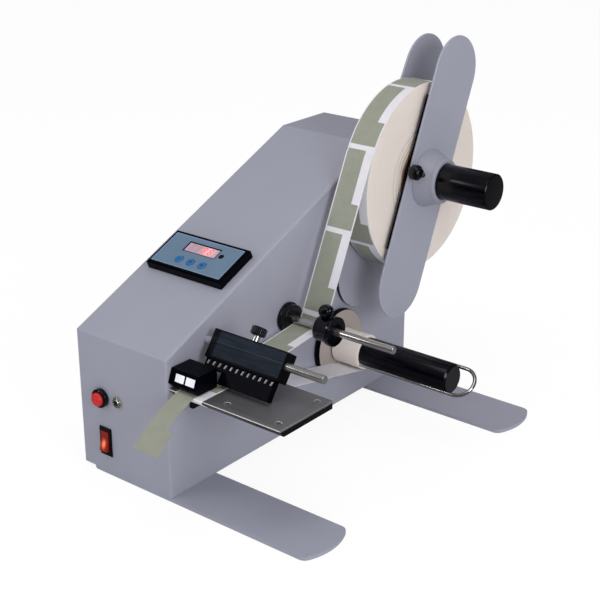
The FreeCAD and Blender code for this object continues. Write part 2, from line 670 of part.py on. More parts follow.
def plate_support():
    """Black bar under the peel plate: bevelled nose and a flange on the wall."""
    body = new_body("plate_support")
    side = sketch_on(body, "YZ_Plane")
    nose = "support_front + support_bevel"
    outline(side, [("support_front", SUPPORT_TOP + " - support_lip"),
                   (nose, SUPPORT_BASE), ("plate_rear", SUPPORT_BASE),
                   ("plate_rear", SUPPORT_TOP), ("support_front", SUPPORT_TOP)])
    grow(body, side, "plate_length - support_end")
    flange = sketch_on(body, "YZ_Plane")
    box_outline(flange, "support_flange_front", "plate_rear",
                SUPPORT_BASE + " - support_flange_drop", SUPPORT_BASE)
    grow(body, flange, "support_flange")
    holes = sketch_on(body, "XY_Plane", SUPPORT_TOP + " + overrun")
    for x, y in plate_screw_places():
        ring(holes, x, y, "plate_screw_radius + fit_gap")
    cut(body, holes, "support_gauge + 2 * overrun")
    return seat(body, "plate_support")


def plate_screw_places():
    far = "plate_length - plate_screw_end"
    front = "plate_front + plate_screw_inset"
    rear = "plate_rear - plate_screw_inset + support_lip"
    return [("plate_screw_near", front), (far, front), ("plate_screw_near", rear), (far, rear)]


def peel_plate():
    """Steel plate with a full-round peel edge and countersunk screw holes."""
    body = new_body("peel_plate")
    side = sketch_on(body, "YZ_Plane")
    nose = "plate_front + plate_gauge / 2"
    outline(side, [(nose, SUPPORT_TOP), ("plate_rear", SUPPORT_TOP),
                   ("plate_rear", "plate_top"), (nose, "plate_top", "plate_gauge * 0.52")])
    grow(body, side, "plate_length")
    holes = sketch_on(body, "XY_Plane", "plate_top + overrun")
    for x, y in plate_screw_places():
        ring(holes, x, y, "plate_screw_radius + fit_gap")
    cut(body, holes, "plate_gauge + 2 * overrun")
    rims = edges_at(body, lambda middle, way: near(middle.z, "plate_top") and abs(way.z) < 1
                    and any(math.hypot(middle.x - number(x), middle.y - number(y))
                            < number("plate_screw_head") for x, y in plate_screw_places()))
    bevel(body, rims, "plate_screw_head - plate_screw_radius")
    return seat(body, "peel_plate")


def plate_screws():
    """Countersunk screws flush with the peel plate, each with a drive recess."""
    copies = []
    head = number("plate_screw_head - part_gap")
    shank = number("plate_screw_radius")
    deep = number("support_gauge")
    cone = head - shank
    for x, y in plate_screw_places():
        top = FreeCAD.Vector(number(x), number(y), number("plate_top"))
        screw = Part.makeCone(shank, head, cone, top - FreeCAD.Vector(0, 0, cone))
        screw = screw.fuse(Part.makeCylinder(shank, deep, top - FreeCAD.Vector(0, 0, deep)))
        recess = Part.makeCylinder(shank * 0.7, cone, top - FreeCAD.Vector(0, 0, cone * 0.6))
        copies.append(screw.cut(recess))
    return finished("plate_screws", Part.makeCompound(copies))


# Paper web

def yz(y, z):
    """Point of the web's side view."""
    return FreeCAD.Vector(0, y, z)


def unit(way):
    length = way.Length
    return FreeCAD.Vector(0, way.y / length, way.z / length)


def leftward(way):
    return FreeCAD.Vector(0, -way.z, way.y)


def bent_side(points, radii, shift):
    """Edges of a path moved to its left, with an arc at each inner corner."""
    ways = [unit(after - before) for before, after in zip(points, points[1:])]
    ends = []
    for index, (point, radius) in enumerate(zip(points[1:-1], radii), start=1):
        way_in, way_out = ways[index - 1], ways[index]
        turn = way_in.y * way_out.z - way_in.z * way_out.y
        side = math.copysign(1, turn)
        bend = math.acos(max(-1, min(1, way_in.dot(way_out))))
        reach = radius * math.tan(bend / 2)
        before = point - way_in * reach + leftward(way_in) * shift
        after = point + way_out * reach + leftward(way_out) * shift
        centre = point - way_in * reach + leftward(way_in) * radius * side
        spoke = unit(before - centre) + unit(after - centre)
        middle = centre + unit(spoke) * (before - centre).Length
        ends.append((before, middle, after))
    edges = []
    start = points[0] + leftward(ways[0]) * shift
    for before, middle, after in ends:
        edges.append(Part.LineSegment(start, before).toShape())
        edges.append(Part.Arc(before, middle, after).toShape())
        start = after
    last = points[-1] + leftward(ways[-1]) * shift
    edges.append(Part.LineSegment(start, last).toShape())
    return edges, points[0] + leftward(ways[0]) * shift, last


def ribbon(points, radii, gauge, wide):
    """Strip from x = 0 along a side-view path. A positive gauge grows to the path's left."""
    face_edges, face_start, face_end = bent_side(points, radii, 0)
    back_edges, back_start, back_end = bent_side(points, radii, gauge)
    caps = [Part.LineSegment(face_start, back_start).toShape(),
            Part.LineSegment(face_end, back_end).toShape()]
    wire = Part.Wire(Part.__sortEdges__(face_edges + back_edges + caps))
    return Part.Face(wire).extrude(FreeCAD.Vector(wide, 0, 0))


def sector(centre, radius, gauge, first, last, wide):
    """Strip bent about a centre, between two angles counted forward from straight up."""
    ends = []
    for reach in (radius, radius + gauge):
        for angle in (first, (first + last) / 2, last):
            ends.append(centre + yz(-math.sin(angle), math.cos(angle)) * reach)
    edges = [Part.Arc(*ends[:3]).toShape(), Part.Arc(*ends[3:]).toShape(),
             Part.LineSegment(ends[0], ends[3]).toShape(),
             Part.LineSegment(ends[2], ends[5]).toShape()]
    wire = Part.Wire(Part.__sortEdges__(edges))
    return Part.Face(wire).extrude(FreeCAD.Vector(wide, 0, 0))


def web_route():
    """Corners of the web's label side: roll, guide rod, plate, nose and mandrel."""
    gauge = number("web_gauge")
    reel = yz(number("reel_y"), number("reel_z"))
    rod = yz(number("guide_y"), number("guide_z"))
    mandrel = yz(number("mandrel_y"), number("mandrel_z"))
    rod_bend = number("guide_rod_radius + label_gauge + fit_gap")
    drop_bend = rod_bend + number("web_slack")
    roll_reach = number("roll_radius + part_gap") + gauge
    span = rod - reel
    lean = math.atan2(span.z, span.y) - math.acos((roll_reach + drop_bend) / span.Length)
    outward = yz(math.cos(lean), math.sin(lean))
    leave = reel + outward * roll_reach
    down = yz(-outward.z, outward.y)
    plate_level = number("plate_top + fit_gap") + gauge
    entry = yz(number("plate_rear"), plate_level)
    reach = rod - entry
    rise = math.atan2(reach.z, reach.y) + math.acos(rod_bend / reach.Length)
    upward = yz(math.cos(rise), math.sin(rise))
    under = rod - upward * rod_bend
    forward = yz(-upward.z, upward.y)
    touch = rod - outward * drop_bend
    gap = under - touch
    step = (gap.y * forward.z - gap.z * forward.y) / (down.y * forward.z - down.z * forward.y)
    corner = touch + down * step
    front = number("plate_front - fit_gap") - gauge
    nose_top = yz(front, plate_level)
    nose_low = yz(front, number("%s - fit_gap" % SUPPORT_TOP) - gauge)
    tuck = yz(number("support_front + support_bevel"),
              number("%s - fit_gap" % SUPPORT_BASE) - gauge * 1.5)
    arrive = mandrel - tuck
    wrap_reach = number("wrap_radius + part_gap") + gauge
    tilt = math.atan2(arrive.z, arrive.y) + math.acos(wrap_reach / arrive.Length)
    inward = yz(math.cos(tilt), math.sin(tilt))
    landing = mandrel - inward * wrap_reach
    return {"leave": leave, "down": down, "corner": corner, "under": under,
            "forward": forward, "entry": entry, "nose_top": nose_top, "nose_low": nose_low,
            "tuck": tuck, "landing": landing}


def web_pieces():
    """The backing paper in three stretches that meet face to face."""
    route = web_route()
    gauge = number("web_gauge")
    wide = number("web_width")
    meeting = route["under"] + route["forward"] * number("guide_rod_radius")
    nose_bend = nose_reach()
    nose_start = route["nose_top"] + yz(nose_bend + number("fit_gap"), 0)
    drop = ribbon([route["leave"], route["corner"], meeting], [number("slack_bend")], gauge, wide)
    feed = ribbon([meeting, route["entry"], nose_start], [number("feed_bend")], gauge, wide)
    back = ribbon([nose_start, route["nose_top"], route["nose_low"], route["tuck"],
                   route["landing"]],
                  [nose_bend, nose_bend * number("tuck_share"), nose_bend],
                  gauge, wide)
    finished("web_drop", drop, x="web_near")
    finished("web_feed", feed, x="web_near")
    finished("web_return", back, x="web_near")


def nose_reach():
    """Distance from the middle of the peel edge to the web's label side."""
    return number("plate_gauge / 2 + fit_gap + web_gauge")


def nose_centre():
    return yz(number("plate_front + plate_gauge / 2"), number("plate_top - plate_gauge / 2"))


def label_widths():
    """Full width of a label and the width left beside its notch."""
    full = number("web_width - 2 * label_border")
    return full, full - number("label_notch")


def web_labels():
    """Labels on the drop and the feed. Each is notched along its trailing part."""
    route = web_route()
    gauge = -number("label_gauge")
    full, slim = label_widths()
    pitch, length = number("label_spacing"), number("label_length")
    notch = number("label_notch_length")
    gap = pitch - length
    bend = number("slack_bend")
    turn = math.acos(route["down"].dot(route["forward"]))
    drop_length = ((route["corner"] - route["leave"]).Length
                   + (route["under"] - route["corner"]).Length)
    feed_length = (route["entry"] - route["under"]).Length
    slack = number("feed_bend") * number("feed_slack_share")

    def on_drop(distance):
        return route["leave"] + route["down"] * distance

    def on_feed(distance):
        return route["under"] + route["forward"] * distance

    def on_plate(distance):
        return route["entry"] + yz(-distance, 0)

    def strip(start, end, wide):
        return ribbon([start, end], [], gauge, wide)

    second_end = number("label_offset")
    second_step = second_end - length + notch
    first_end = second_end - pitch
    first_step = first_end - length + notch
    third_start = second_end + gap
    fed = drop_length - third_start + bend * (turn - 2 * math.tan(turn / 2))
    fourth_start = length - fed + gap
    run = feed_length - fourth_start
    last_start = length - run + gap
    nose = nose_centre()
    peel = math.radians(number("peeled_angle"))
    labels = [
        strip(on_drop(0), on_drop(first_step), slim)
        .fuse(strip(on_drop(first_step), on_drop(first_end), full)),
        strip(on_drop(first_end + gap), on_drop(second_step), slim)
        .fuse(strip(on_drop(second_step), on_drop(second_end), full)),
        ribbon([on_drop(third_start), route["corner"], on_feed(notch - fed)], [bend], gauge,
               slim).fuse(strip(on_feed(notch - fed), on_feed(length - fed), full)),
        strip(on_feed(fourth_start), on_feed(feed_length - slack), slim),
        strip(on_plate(slack), on_plate(notch - run), slim)
        .fuse(strip(on_plate(notch - run), on_plate(length - run), full)),
        strip(on_plate(last_start), yz(nose.y, route["entry"].z), slim)
        .fuse(sector(nose, nose_reach(), -gauge, 0, peel, slim)),
    ]
    return finished("web_labels", Part.makeCompound(labels), x="web_near + label_border")


def dispensed_label():
    """Label peeled off at the nose: it bows forward and down."""
    full, slim = label_widths()
    gauge = number("label_gauge")
    radius = number("peeled_radius")
    first = math.radians(number("peeled_angle"))
    whole = number("peeled_length") / radius
    step = first + whole * number("1 - (label_length - label_notch_length) / peeled_length")
    upright = yz(-math.sin(first), math.cos(first))
    centre = nose_centre() + upright * (nose_reach() - radius)
    shape = sector(centre, radius, gauge, first, step, slim)
    shape = shape.fuse(sector(centre, radius, gauge, step, first + whole, full))
    return finished("dispensed_label", shape, x="web_near + label_border")


# Sensor head

def sensor_head():
    """Black block on the wall over the web at the peel edge."""
    body = new_body("sensor_head")
    side = sketch_on(body, "YZ_Plane")
    outline(side, [("sensor_front + sensor_chin", "sensor_base"),
                   ("sensor_rear", "sensor_base"), ("sensor_rear", "sensor_top"),
                   ("sensor_front + sensor_rake", "sensor_top"),
                   ("sensor_front", "sensor_brow")])
    grow(body, side, "sensor_width")
    return seat(body, "sensor_head")


def sensor_windows():
    """Two white lamp windows on the raked front of the sensor head."""
    low = yz(number("sensor_front"), number("sensor_brow"))
    high = yz(number("sensor_front + sensor_rake"), number("sensor_top"))
    way = unit(high - low)
    middle = (low + high) * 0.5
    half = number("lamp_height") / 2
    windows = []
    for index in range(2):
        near_x = number("lamp_near") + index * number("lamp_width + lamp_gap")
        window = ribbon([middle - way * half, middle + way * half], [],
                        number("lamp_gauge"), number("lamp_width"))
        window.translate(FreeCAD.Vector(near_x, 0, 0))
        windows.append(window)
    return finished("sensor_windows", Part.makeCompound(windows))


# Press unit

def press_rod():
    body = turned("press_rod", [("-rod_tail", "0"), ("press_rod_end", "0"),
                                ("press_rod_end", "press_rod_radius - press_rod_radius / 6"),
                                ("press_rod_end - press_rod_radius / 6", "press_rod_radius"),
                                ("-rod_tail", "press_rod_radius")])
    return seat(body, "press_rod", y="press_y", z="press_z")


def lean_seat(body, label):
    return seat(body, label, y="press_y", z="press_z", axis=(-1, 0, 0), angle="press_angle")


def press_channel():
    """C-shaped channel round the press rod, open to the rear, with end plates."""
    body = new_body("press_channel")
    side = sketch_on(body, "YZ_Plane", "channel_near")
    front = "-channel_front"
    back = "channel_deep - channel_front"
    outline(side, [(front, "-channel_down"), (back, "-channel_down"), (back, "channel_up"),
                   (front, "channel_up")])
    grow(body, side, "channel_length")
    long_edges = edges_at(body, lambda middle, way: abs(way.x) > 1 - number("fit_gap")
                          and near(middle.y, front))
    soften(body, long_edges, "channel_gauge / 3")
    hollow = sketch_on(body, "YZ_Plane", "channel_near + channel_gauge")
    lip = "channel_gauge * 1.6"
    outline(hollow, [("-channel_front + channel_gauge", "-channel_down + channel_gauge"),
                     (back + " - channel_gauge", "-channel_down + channel_gauge"),
                     (back + " - channel_gauge", "-channel_down + " + lip),
                     (back + " + overrun", "-channel_down + " + lip),
                     (back + " + overrun", "channel_up - " + lip),
                     (back + " - channel_gauge", "channel_up - " + lip),
                     (back + " - channel_gauge", "channel_up - channel_gauge"),
                     ("-channel_front + channel_gauge", "channel_up - channel_gauge")])
    cut(body, hollow, "channel_length - 2 * channel_gauge", backwards=True)
    bore = sketch_on(body, "YZ_Plane", "channel_near + channel_length + overrun")
    ring(bore, "0", "0", "press_rod_radius + 2 * fit_gap")
    cut(body, bore, "channel_length + 2 * overrun")
    stud_hole = sketch_on(body, "XY_Plane", "channel_up + overrun")
    ring(stud_hole, "channel_near + channel_length / 2", "0", "press_stud_radius + 2 * fit_gap")
    cut(body, stud_hole, "channel_gauge + 2 * overrun")
    return lean_seat(body, "press_channel")


def press_comb():
    """Black presser bar under the channel with a row of slots below the lip."""
    body = new_body("press_comb")
    side = sketch_on(body, "XZ_Plane", "comb_front")
    far = "channel_near + channel_length - comb_end"
    outline(side, [("comb_near", "-" + COMB_FOOT), (far, "-" + COMB_FOOT), (far, "-channel_down"),
                   ("channel_near + comb_end", "-channel_down"),
                   ("channel_near + comb_end", "-channel_down - comb_tooth - comb_root"),
                   ("comb_near", "-channel_down - comb_tooth - comb_root")])
    grow(body, side, "comb_gauge", backwards=True)
    slot = sketch_on(body, "XZ_Plane", "comb_front + overrun")
    middle = "channel_near + channel_length / 2"
    first = middle + " - comb_spacing * (comb_slot_count - 1) / 2"
    box_outline(slot, first + " - comb_slot_width / 2", first + " + comb_slot_width / 2",
                "-channel_down - comb_tooth", "-channel_down - comb_root / 8")
    opened = cut(body, slot, "comb_gauge + 2 * overrun")
    row = body.newObject("PartDesign::LinearPattern", "comb_row")
    row.Originals = [opened]
    row.Direction = (slot, ["H_Axis"])
    bind(row, "Length", "comb_spacing * (comb_slot_count - 1)")
    bind(row, "Occurrences", "comb_slot_count")
    body.Tip = row
    DOC.recompute()
    return lean_seat(body, "press_comb")


def press_knob():
    """Knurled knob on a stud that clamps the channel to its rod."""
    body = new_body("press_knob")
    plan = sketch_on(body, "XY_Plane", "channel_up + press_stud_length")
    ring(plan, "0", "0", "press_knob_radius")
    grow(body, plan, "press_knob_height")
    rims = edges_at(body, lambda middle, way: abs(way.z) < number("fit_gap"))
    bevel(body, rims, "knurl_depth")
    stud = sketch_on(body, "XY_Plane", "press_rod_radius + part_gap")
    ring(stud, "0", "0", "press_stud_radius")
    grow(body, stud, "channel_up + press_stud_length - press_rod_radius - part_gap")
    notch = sketch_on(body, "XY_Plane",
                      "channel_up + press_stud_length + press_knob_height + overrun")
    ring(notch, "press_knob_radius + knurl_depth / 4", "0", "knurl_depth")
    groove = cut(body, notch, "press_knob_height + overrun")
    spin = body.newObject("PartDesign::PolarPattern", "knurl")
    spin.Originals = [groove]
    spin.Axis = (notch, ["N_Axis"])
    bind(spin, "Occurrences", "knurl_count")
    body.Tip = spin
    DOC.recompute()
    return seat(body, "press_knob", x="channel_near + channel_length / 2", y="press_y",
                z="press_z", axis=(-1, 0, 0), angle="press_angle")


# Guide rod with its fixed flange and sliding collar

def rod_corners(start, end, radius):
    """Plain rod with a small chamfer at its free end."""
    chamfer = radius + " / 6"
    return [(start, "0"), (end, "0"), (end, "%s - %s" % (radius, chamfer)),
            ("%s - %s" % (end, chamfer), radius), (start, radius)]


def guide_rod():
    body = turned("guide_rod", rod_corners("-rod_tail", "guide_rod_end", "guide_rod_radius"))
    return seat(body, "guide_rod", y="guide_y", z="guide_z")


def guide_flange():
    """Black disc and hub on the wall, which guide the web's inner edge."""
    hub_end = "web_near - part_gap"
    bore = "guide_rod_radius + fit_gap"
    body = turned("guide_flange", [("0", bore), (hub_end, bore), (hub_end, "guide_hub_radius"),
                                   ("guide_disc_gauge", "guide_hub_radius"),
                                   ("guide_disc_gauge", "guide_disc_radius"),
                                   ("0", "guide_disc_radius")])
    return seat(body, "guide_flange", y="guide_y", z="guide_z")


def guide_collar():
    """Sliding collar beyond the web's outer edge, with a hole for its thumb screw."""
    bore = "guide_rod_radius + 2 * fit_gap"
    body = turned("guide_collar", [(COLLAR_NEAR, bore), (COLLAR_FAR, bore),
                                   (COLLAR_FAR, "collar_disc_radius"),
                                   (COLLAR_STEP, "collar_disc_radius"),
                                   (COLLAR_STEP, "collar_hub_radius"),
                                   (COLLAR_NEAR, "collar_hub_radius")])
    hole = sketch_on(body, "XY_Plane", "collar_hub_radius + overrun")
    ring(hole, COLLAR_NEAR + " + collar_length / 2", "0", "thumb_stud_radius + 2 * fit_gap")
    cut(body, hole, "collar_hub_radius + overrun")
    return seat(body, "guide_collar", y="guide_y", z="guide_z")


def thumb_screw(label, tip, knob, radius, crown, chin, neck_length):
    """Thumb screw turned about X: stud, neck and a ball-like knob with rounded edges."""
    low = "%s - %s * %s" % (knob, radius, chin)
    neck = "%s - %s" % (low, neck_length)
    top = "%s + %s * %s" % (knob, radius, crown)
    band = "%s * 0.4" % radius
    body = turned(label, [(tip, "0"), (top, "0"), (top, radius + " * 0.55"),
                          ("%s + %s" % (knob, band), radius), ("%s - %s" % (knob, band), radius),
                          (low, "thumb_neck_radius"), (neck, "thumb_neck_radius"),
                          (neck, "thumb_stud_radius"), (tip, "thumb_stud_radius")])
    rims = edges_at(body, lambda middle, way: middle.x > number(knob) - number(radius)
                    and math.hypot(middle.y, middle.z) > number("thumb_neck_radius") * 1.02)
    soften(body, rims, radius + " / 6")
    return body


def collar_knob():
    """Thumb screw that stands up on the guide collar."""
    body = thumb_screw("collar_knob", "guide_rod_radius + part_gap", "collar_knob_reach",
                       "collar_knob_radius", "0.72", "0.58", "part_gap * 2")
    return seat(body, "collar_knob", x=COLLAR_NEAR + " + collar_length / 2", y="guide_y",
                z="guide_z", axis=(0, -1, 0), angle="90")


# Supply reel

def supply_bearing():
    """Bearing in the wall that carries the reel's spindle."""
    flange = "-sheet_gauge - bearing_flange_gauge"
    bore = "spindle_radius + fit_gap"
    body = turned("supply_bearing", [("-bearing_length", bore), ("bearing_lip", bore),
                                     ("bearing_lip", "bearing_radius"),
                                     ("-sheet_gauge", "bearing_radius"),
                                     ("-sheet_gauge", "bearing_flange"),
                                     (flange, "bearing_flange"), (flange, "bearing_radius"),
                                     ("-bearing_length", "bearing_radius")])
    return seat(body, "supply_bearing", y="reel_y", z="reel_z")


def supply_shaft():
    """Spindle and the wide black shaft that the roll and paddles ride on."""
    shoulder = "paddle_near + paddle_gauge"
    end = "supply_shaft_end"
    body = turned("supply_shaft", [("-spindle_tail", "0"), (end, "0"),
                                   (end, "supply_shaft_radius - shaft_chamfer"),
                                   (end + " - shaft_chamfer", "supply_shaft_radius"),
                                   (shoulder, "supply_shaft_radius"),
                                   (shoulder, "spindle_radius"),
                                   ("-spindle_tail", "spindle_radius")])
    return seat(body, "supply_shaft", y="reel_y", z="reel_z")


def paddle(label, near_x, bore, lean):
    """Flat blade with full-round ends, leaning to the rear at its top."""
    reach = "(paddle_half - paddle_width / 2)"
    strip = block(label + "_strip", "paddle_gauge", "paddle_width", "2 * " + reach,
                  x=near_x, y="-paddle_width / 2", z="-" + reach)
    top = cylinder(label + "_top", "paddle_width / 2", "paddle_gauge", x=near_x, z=reach)
    low = cylinder(label + "_low", "paddle_width / 2", "paddle_gauge", x=near_x,
                   z="-" + reach)
    blade = joined(label + "_blade", [strip, top, low])
    hole = cylinder(label + "_hole", bore, "paddle_gauge + 2 * overrun",
                    x=near_x + " - overrun")
    whole = less(label, blade, hole)
    return seat(whole, label, y="reel_y", z="reel_z", axis=(-1, 0, 0), angle=lean)


def roll_part(label, start, end, inner, outer):
    """Ring round the supply shaft."""
    body = turned(label, [(start, inner), (end, inner), (end, outer), (start, outer)])
    return seat(body, label, y="reel_y", z="reel_z")


def outer_hub():
    """Cone on the outer paddle that slides on the shaft, with a thumb screw hole."""
    bore = "supply_shaft_radius + 2 * fit_gap"
    body = turned("outer_hub", [(HUB_NEAR, bore), (HUB_FAR, bore), (HUB_FAR, "hub_nose_radius"),
                                (HUB_NEAR, "hub_base_radius")])
    rims = edges_at(body, lambda middle, way: near(middle.x, HUB_FAR)
                    and math.hypot(middle.y, middle.z) > number("hub_nose_radius") * 0.95)
    soften(body, rims, "hub_round")
    hole = sketch_on(body, "XY_Plane", "hub_base_radius + overrun")
    ring(hole, HUB_NEAR + " + hub_length * 0.41", "0", "thumb_stud_radius + 2 * fit_gap")
    cut(body, hole, "hub_base_radius + overrun - supply_shaft_radius / 2")
    return seat(body, "outer_hub", y="reel_y", z="reel_z", axis=(1, 0, 0),
                angle="90 - outer_paddle_angle")


def hub_thumbscrew():
    """Thumb screw square to the shaft, pointing forward and a little up."""
    body = thumb_screw("hub_thumbscrew", "supply_shaft_radius + part_gap",
                       "supply_shaft_radius + thumb_reach", "thumb_radius", "0.82", "0.72",
                       "thumb_neck_length")
    turn_z = FreeCAD.Rotation(FreeCAD.Vector(0, -1, 0), 90)
    lift = FreeCAD.Rotation(FreeCAD.Vector(1, 0, 0), 90 - number("outer_paddle_angle"))
    body.Placement = FreeCAD.Placement(FreeCAD.Vector(0, 0, 0), lift.multiply(turn_z))
    return seat(body, "hub_thumbscrew", x=HUB_NEAR + " + hub_length * 0.41", y="reel_y",
                z="reel_z")


# Rewind mandrel

def rewind_bearing():
    flange = "-sheet_gauge - bearing_flange_gauge"
    bore = "rewind_spindle_radius + fit_gap"
    body = turned("rewind_bearing",
                  [("-pulley_near + bearing_lip", bore), ("bearing_lip", bore),
                   ("bearing_lip", "rewind_bearing_radius"),
                   ("-sheet_gauge", "rewind_bearing_radius"),
                   ("-sheet_gauge", "rewind_bearing_flange"),
                   (flange, "rewind_bearing_flange"), (flange, "rewind_bearing_radius"),
                   ("-pulley_near + bearing_lip", "rewind_bearing_radius")])
    return seat(body, "rewind_bearing", y="mandrel_y", z="mandrel_z")


def clip_places():
    """The two leg places of the clip, across the mandrel."""
    reach = "clip_reach"
    return [("%s * cos(clip_angle)" % reach, "%s * sin(clip_angle)" % reach),
            ("-%s * cos(clip_angle)" % reach, "-%s * sin(clip_angle)" % reach)]


def rewind_mandrel():
    """Spindle and black mandrel with two long grooves for the clip's legs."""
    shoulder = "rewind_disc_near + rewind_disc_gauge"
    end = "mandrel_end"
    body = turned("rewind_mandrel", [("-rewind_spindle_tail", "0"), (end, "0"),
                                     (end, "mandrel_radius - mandrel_chamfer"),
                                     (end + " - mandrel_chamfer", "mandrel_radius"),
                                     (shoulder, "mandrel_radius"),
                                     (shoulder, "rewind_spindle_radius"),
                                     ("-rewind_spindle_tail", "rewind_spindle_radius")])
    grooves = sketch_on(body, "YZ_Plane", "mandrel_end + overrun")
    for y, z in clip_places():
        ring(grooves, y, z, "clip_wire_radius + part_gap")
    cut(body, grooves, "mandrel_end - clip_near + part_gap + overrun")
    return seat(body, "rewind_mandrel", y="mandrel_y", z="mandrel_z")


def rewind_flange():
    """Thin disc beside the wall that keeps the wound backing in line."""
    body = turned("rewind_flange",
                  [("rewind_disc_near", "rewind_spindle_radius"),
                   ("rewind_disc_near + rewind_disc_gauge", "rewind_spindle_radius"),
                   ("rewind_disc_near + rewind_disc_gauge", "rewind_disc_radius"),
                   ("rewind_disc_near", "rewind_disc_radius")])
    return seat(body, "rewind_flange", y="mandrel_y", z="mandrel_z")


def backing_wrap():
    """Backing paper wound on the mandrel, with room for the clip's legs."""
    body = turned("backing_wrap", [("web_near", "mandrel_radius"), (WEB_FAR, "mandrel_radius"),
                                   (WEB_FAR, "wrap_radius"), ("web_near", "wrap_radius")])
    rooms = sketch_on(body, "YZ_Plane", WEB_FAR + " + overrun")
    for y, z in clip_places():
        ring(rooms, y, z, "clip_wire_radius + part_gap")
    cut(body, rooms, "web_width + 2 * overrun")
    return seat(body, "backing_wrap", y="mandrel_y", z="mandrel_z")


def mandrel_clip():
    """U-shaped wire clip: two legs in the mandrel's grooves and a round bend."""
    wire, reach = "clip_wire_radius", "clip_reach"
    straight = "clip_straight - clip_near"
    legs = [cylinder("clip_leg_%s" % name, wire, straight, x="clip_near", y=side + reach)
            for name, side in (("a", ""), ("b", "-"))]
    bend = DOC.addObject("Part::Torus", "clip_bend")
    bend.Placement = FreeCAD.Placement(FreeCAD.Vector(0, 0, 0),
                                       FreeCAD.Rotation(FreeCAD.Vector(0, 0, 1), -90))
    bind(bend, "Placement.Base.x", "clip_straight")
    bind(bend, "Radius1", reach)
    bind(bend, "Radius2", wire)
    bend.Angle3 = 180
    whole = joined("mandrel_clip", legs + [bend])
    return seat(whole, "mandrel_clip", y="mandrel_y", z="mandrel_z", axis=(1, 0, 0),
                angle="clip_angle")


# Drive inside the housing

def pulley_corners(rim, bore, rear):
    """Pulley between two flanges, turned about X, from its rear face forward."""
    front = "%s + pulley_width" % rear
    outer = "%s + pulley_rim" % rim
    return [(rear, bore), (front, bore), (front, outer),
            (front + " - pulley_flange", outer), (front + " - pulley_flange", rim),
            (rear + " + pulley_flange", rim), (rear + " + pulley_flange", outer),
            (rear, outer)]


def drive_pulley():
    rear = "-pulley_near - pulley_width"
    body = turned("drive_pulley",
                  pulley_corners("drive_pulley_radius", "rewind_spindle_radius", rear))
    return seat(body, "drive_pulley", y="mandrel_y", z="mandrel_z")


def motor_pulley():
    """Pulley with the motor's own shaft."""
    rear = "-pulley_near - pulley_width"
    tail = "-bracket_near - bracket_gauge - part_gap"
    rim = pulley_corners("motor_pulley_radius", "motor_shaft_radius", rear)[2:]
    shaft = [(rear, "motor_shaft_radius"), (tail, "motor_shaft_radius"), (tail, "0"),
             (rear + " + pulley_width", "0")]
    body = turned("motor_pulley", shaft + rim)
    return seat(body, "motor_pulley", y="motor_y", z="motor_z")


def drive_belt():
    """Flat belt round both pulleys: its bore clears the rims by the part gap."""
    big = yz(number("mandrel_y"), number("mandrel_z"))
    small = yz(number("motor_y"), number("motor_z"))
    span = small - big
    centre_angle = math.atan2(span.z, span.y)

    def loop(reach):
        """Face of two circles and the band between their outer tangents."""
        big_reach = number("drive_pulley_radius + part_gap") + reach
        small_reach = number("motor_pulley_radius + part_gap") + reach
        lean = math.acos((big_reach - small_reach) / span.Length)
        touches = []
        for sign in (1, -1):
            angle = centre_angle + sign * lean
            way = yz(math.cos(angle), math.sin(angle))
            touches.append((big + way * big_reach, small + way * small_reach))
        away = unit(span)
        edges = [Part.LineSegment(touches[0][0], touches[0][1]).toShape(),
                 Part.Arc(touches[0][1], small + away * small_reach, touches[1][1]).toShape(),
                 Part.LineSegment(touches[1][1], touches[1][0]).toShape(),
                 Part.Arc(touches[1][0], big - away * big_reach, touches[0][0]).toShape()]
        return Part.Face(Part.Wire(edges))

    gauge = number("belt_gauge")
    margin = number("pulley_flange + part_gap")
    wide = number("pulley_width") - 2 * margin
    band = loop(gauge).cut(loop(0)).extrude(FreeCAD.Vector(wide, 0, 0))
    return finished("drive_belt", band,
                    x="pulley_flange + part_gap - pulley_near - pulley_width")


def motor_bracket():
    """Square plate on four round legs that stand on the mechanism wall."""
    body = new_body("motor_bracket")
    plate = sketch_on(body, "YZ_Plane", "-bracket_near - bracket_gauge")
    half = "bracket_size / 2"
    box_outline(plate, "-" + half, half, "-" + half, half)
    grow(body, plate, "bracket_gauge")
    legs = sketch_on(body, "YZ_Plane", "-bracket_near")
    corner = half + " - standoff_inset"
    for across in ("-(%s)" % corner, corner):
        for up in ("-(%s)" % corner, corner):
            ring(legs, across, up, "standoff_radius")
    grow(body, legs, "bracket_near - sheet_gauge")
    hole = sketch_on(body, "YZ_Plane", "-bracket_near + overrun")
    ring(hole, "0", "0", "motor_shaft_radius * 2")
    cut(body, hole, "bracket_gauge + 2 * overrun")
    return seat(body, "motor_bracket", y="motor_y", z="motor_z")


def gear_motor():
    """Round gear motor whose gearbox end sits on the bracket."""
    face = "-bracket_near - bracket_gauge"
    gearbox = face + " - motor_length * 0.4"
    back = face + " - motor_length"
    well = "motor_shaft_radius + 2 * fit_gap"
    mouth = face + " - 2 * part_gap"
    body = turned("gear_motor", [(back, "0"), (mouth, "0"), (mouth, well), (face, well),
                                 (face, "motor_radius"), (gearbox, "motor_radius"),
                                 (gearbox, "motor_radius * 0.94"),
                                 (back + " + shaft_chamfer", "motor_radius * 0.94"),
                                 (back, "motor_radius * 0.94 - shaft_chamfer")])
    return seat(body, "gear_motor", y="motor_y", z="motor_z")


def power_supply():
    """Closed switching supply on the floor, with a raised terminal strip."""
    body = new_body("power_supply")
    plan = sketch_on(body, "XY_Plane", "sheet_gauge")
    left = "-supply_box_left"
    right = "supply_box_width - supply_box_left"
    far = "supply_box_y + supply_box_length"
    box_outline(plan, left, right, "supply_box_y", far)
    grow(body, plan, "supply_box_height")
    strip = sketch_on(body, "XY_Plane", "sheet_gauge")
    box_outline(strip, left, right, far, far + " + relay_size / 2")
    grow(body, strip, "relay_height")
    return seat(body, "power_supply")


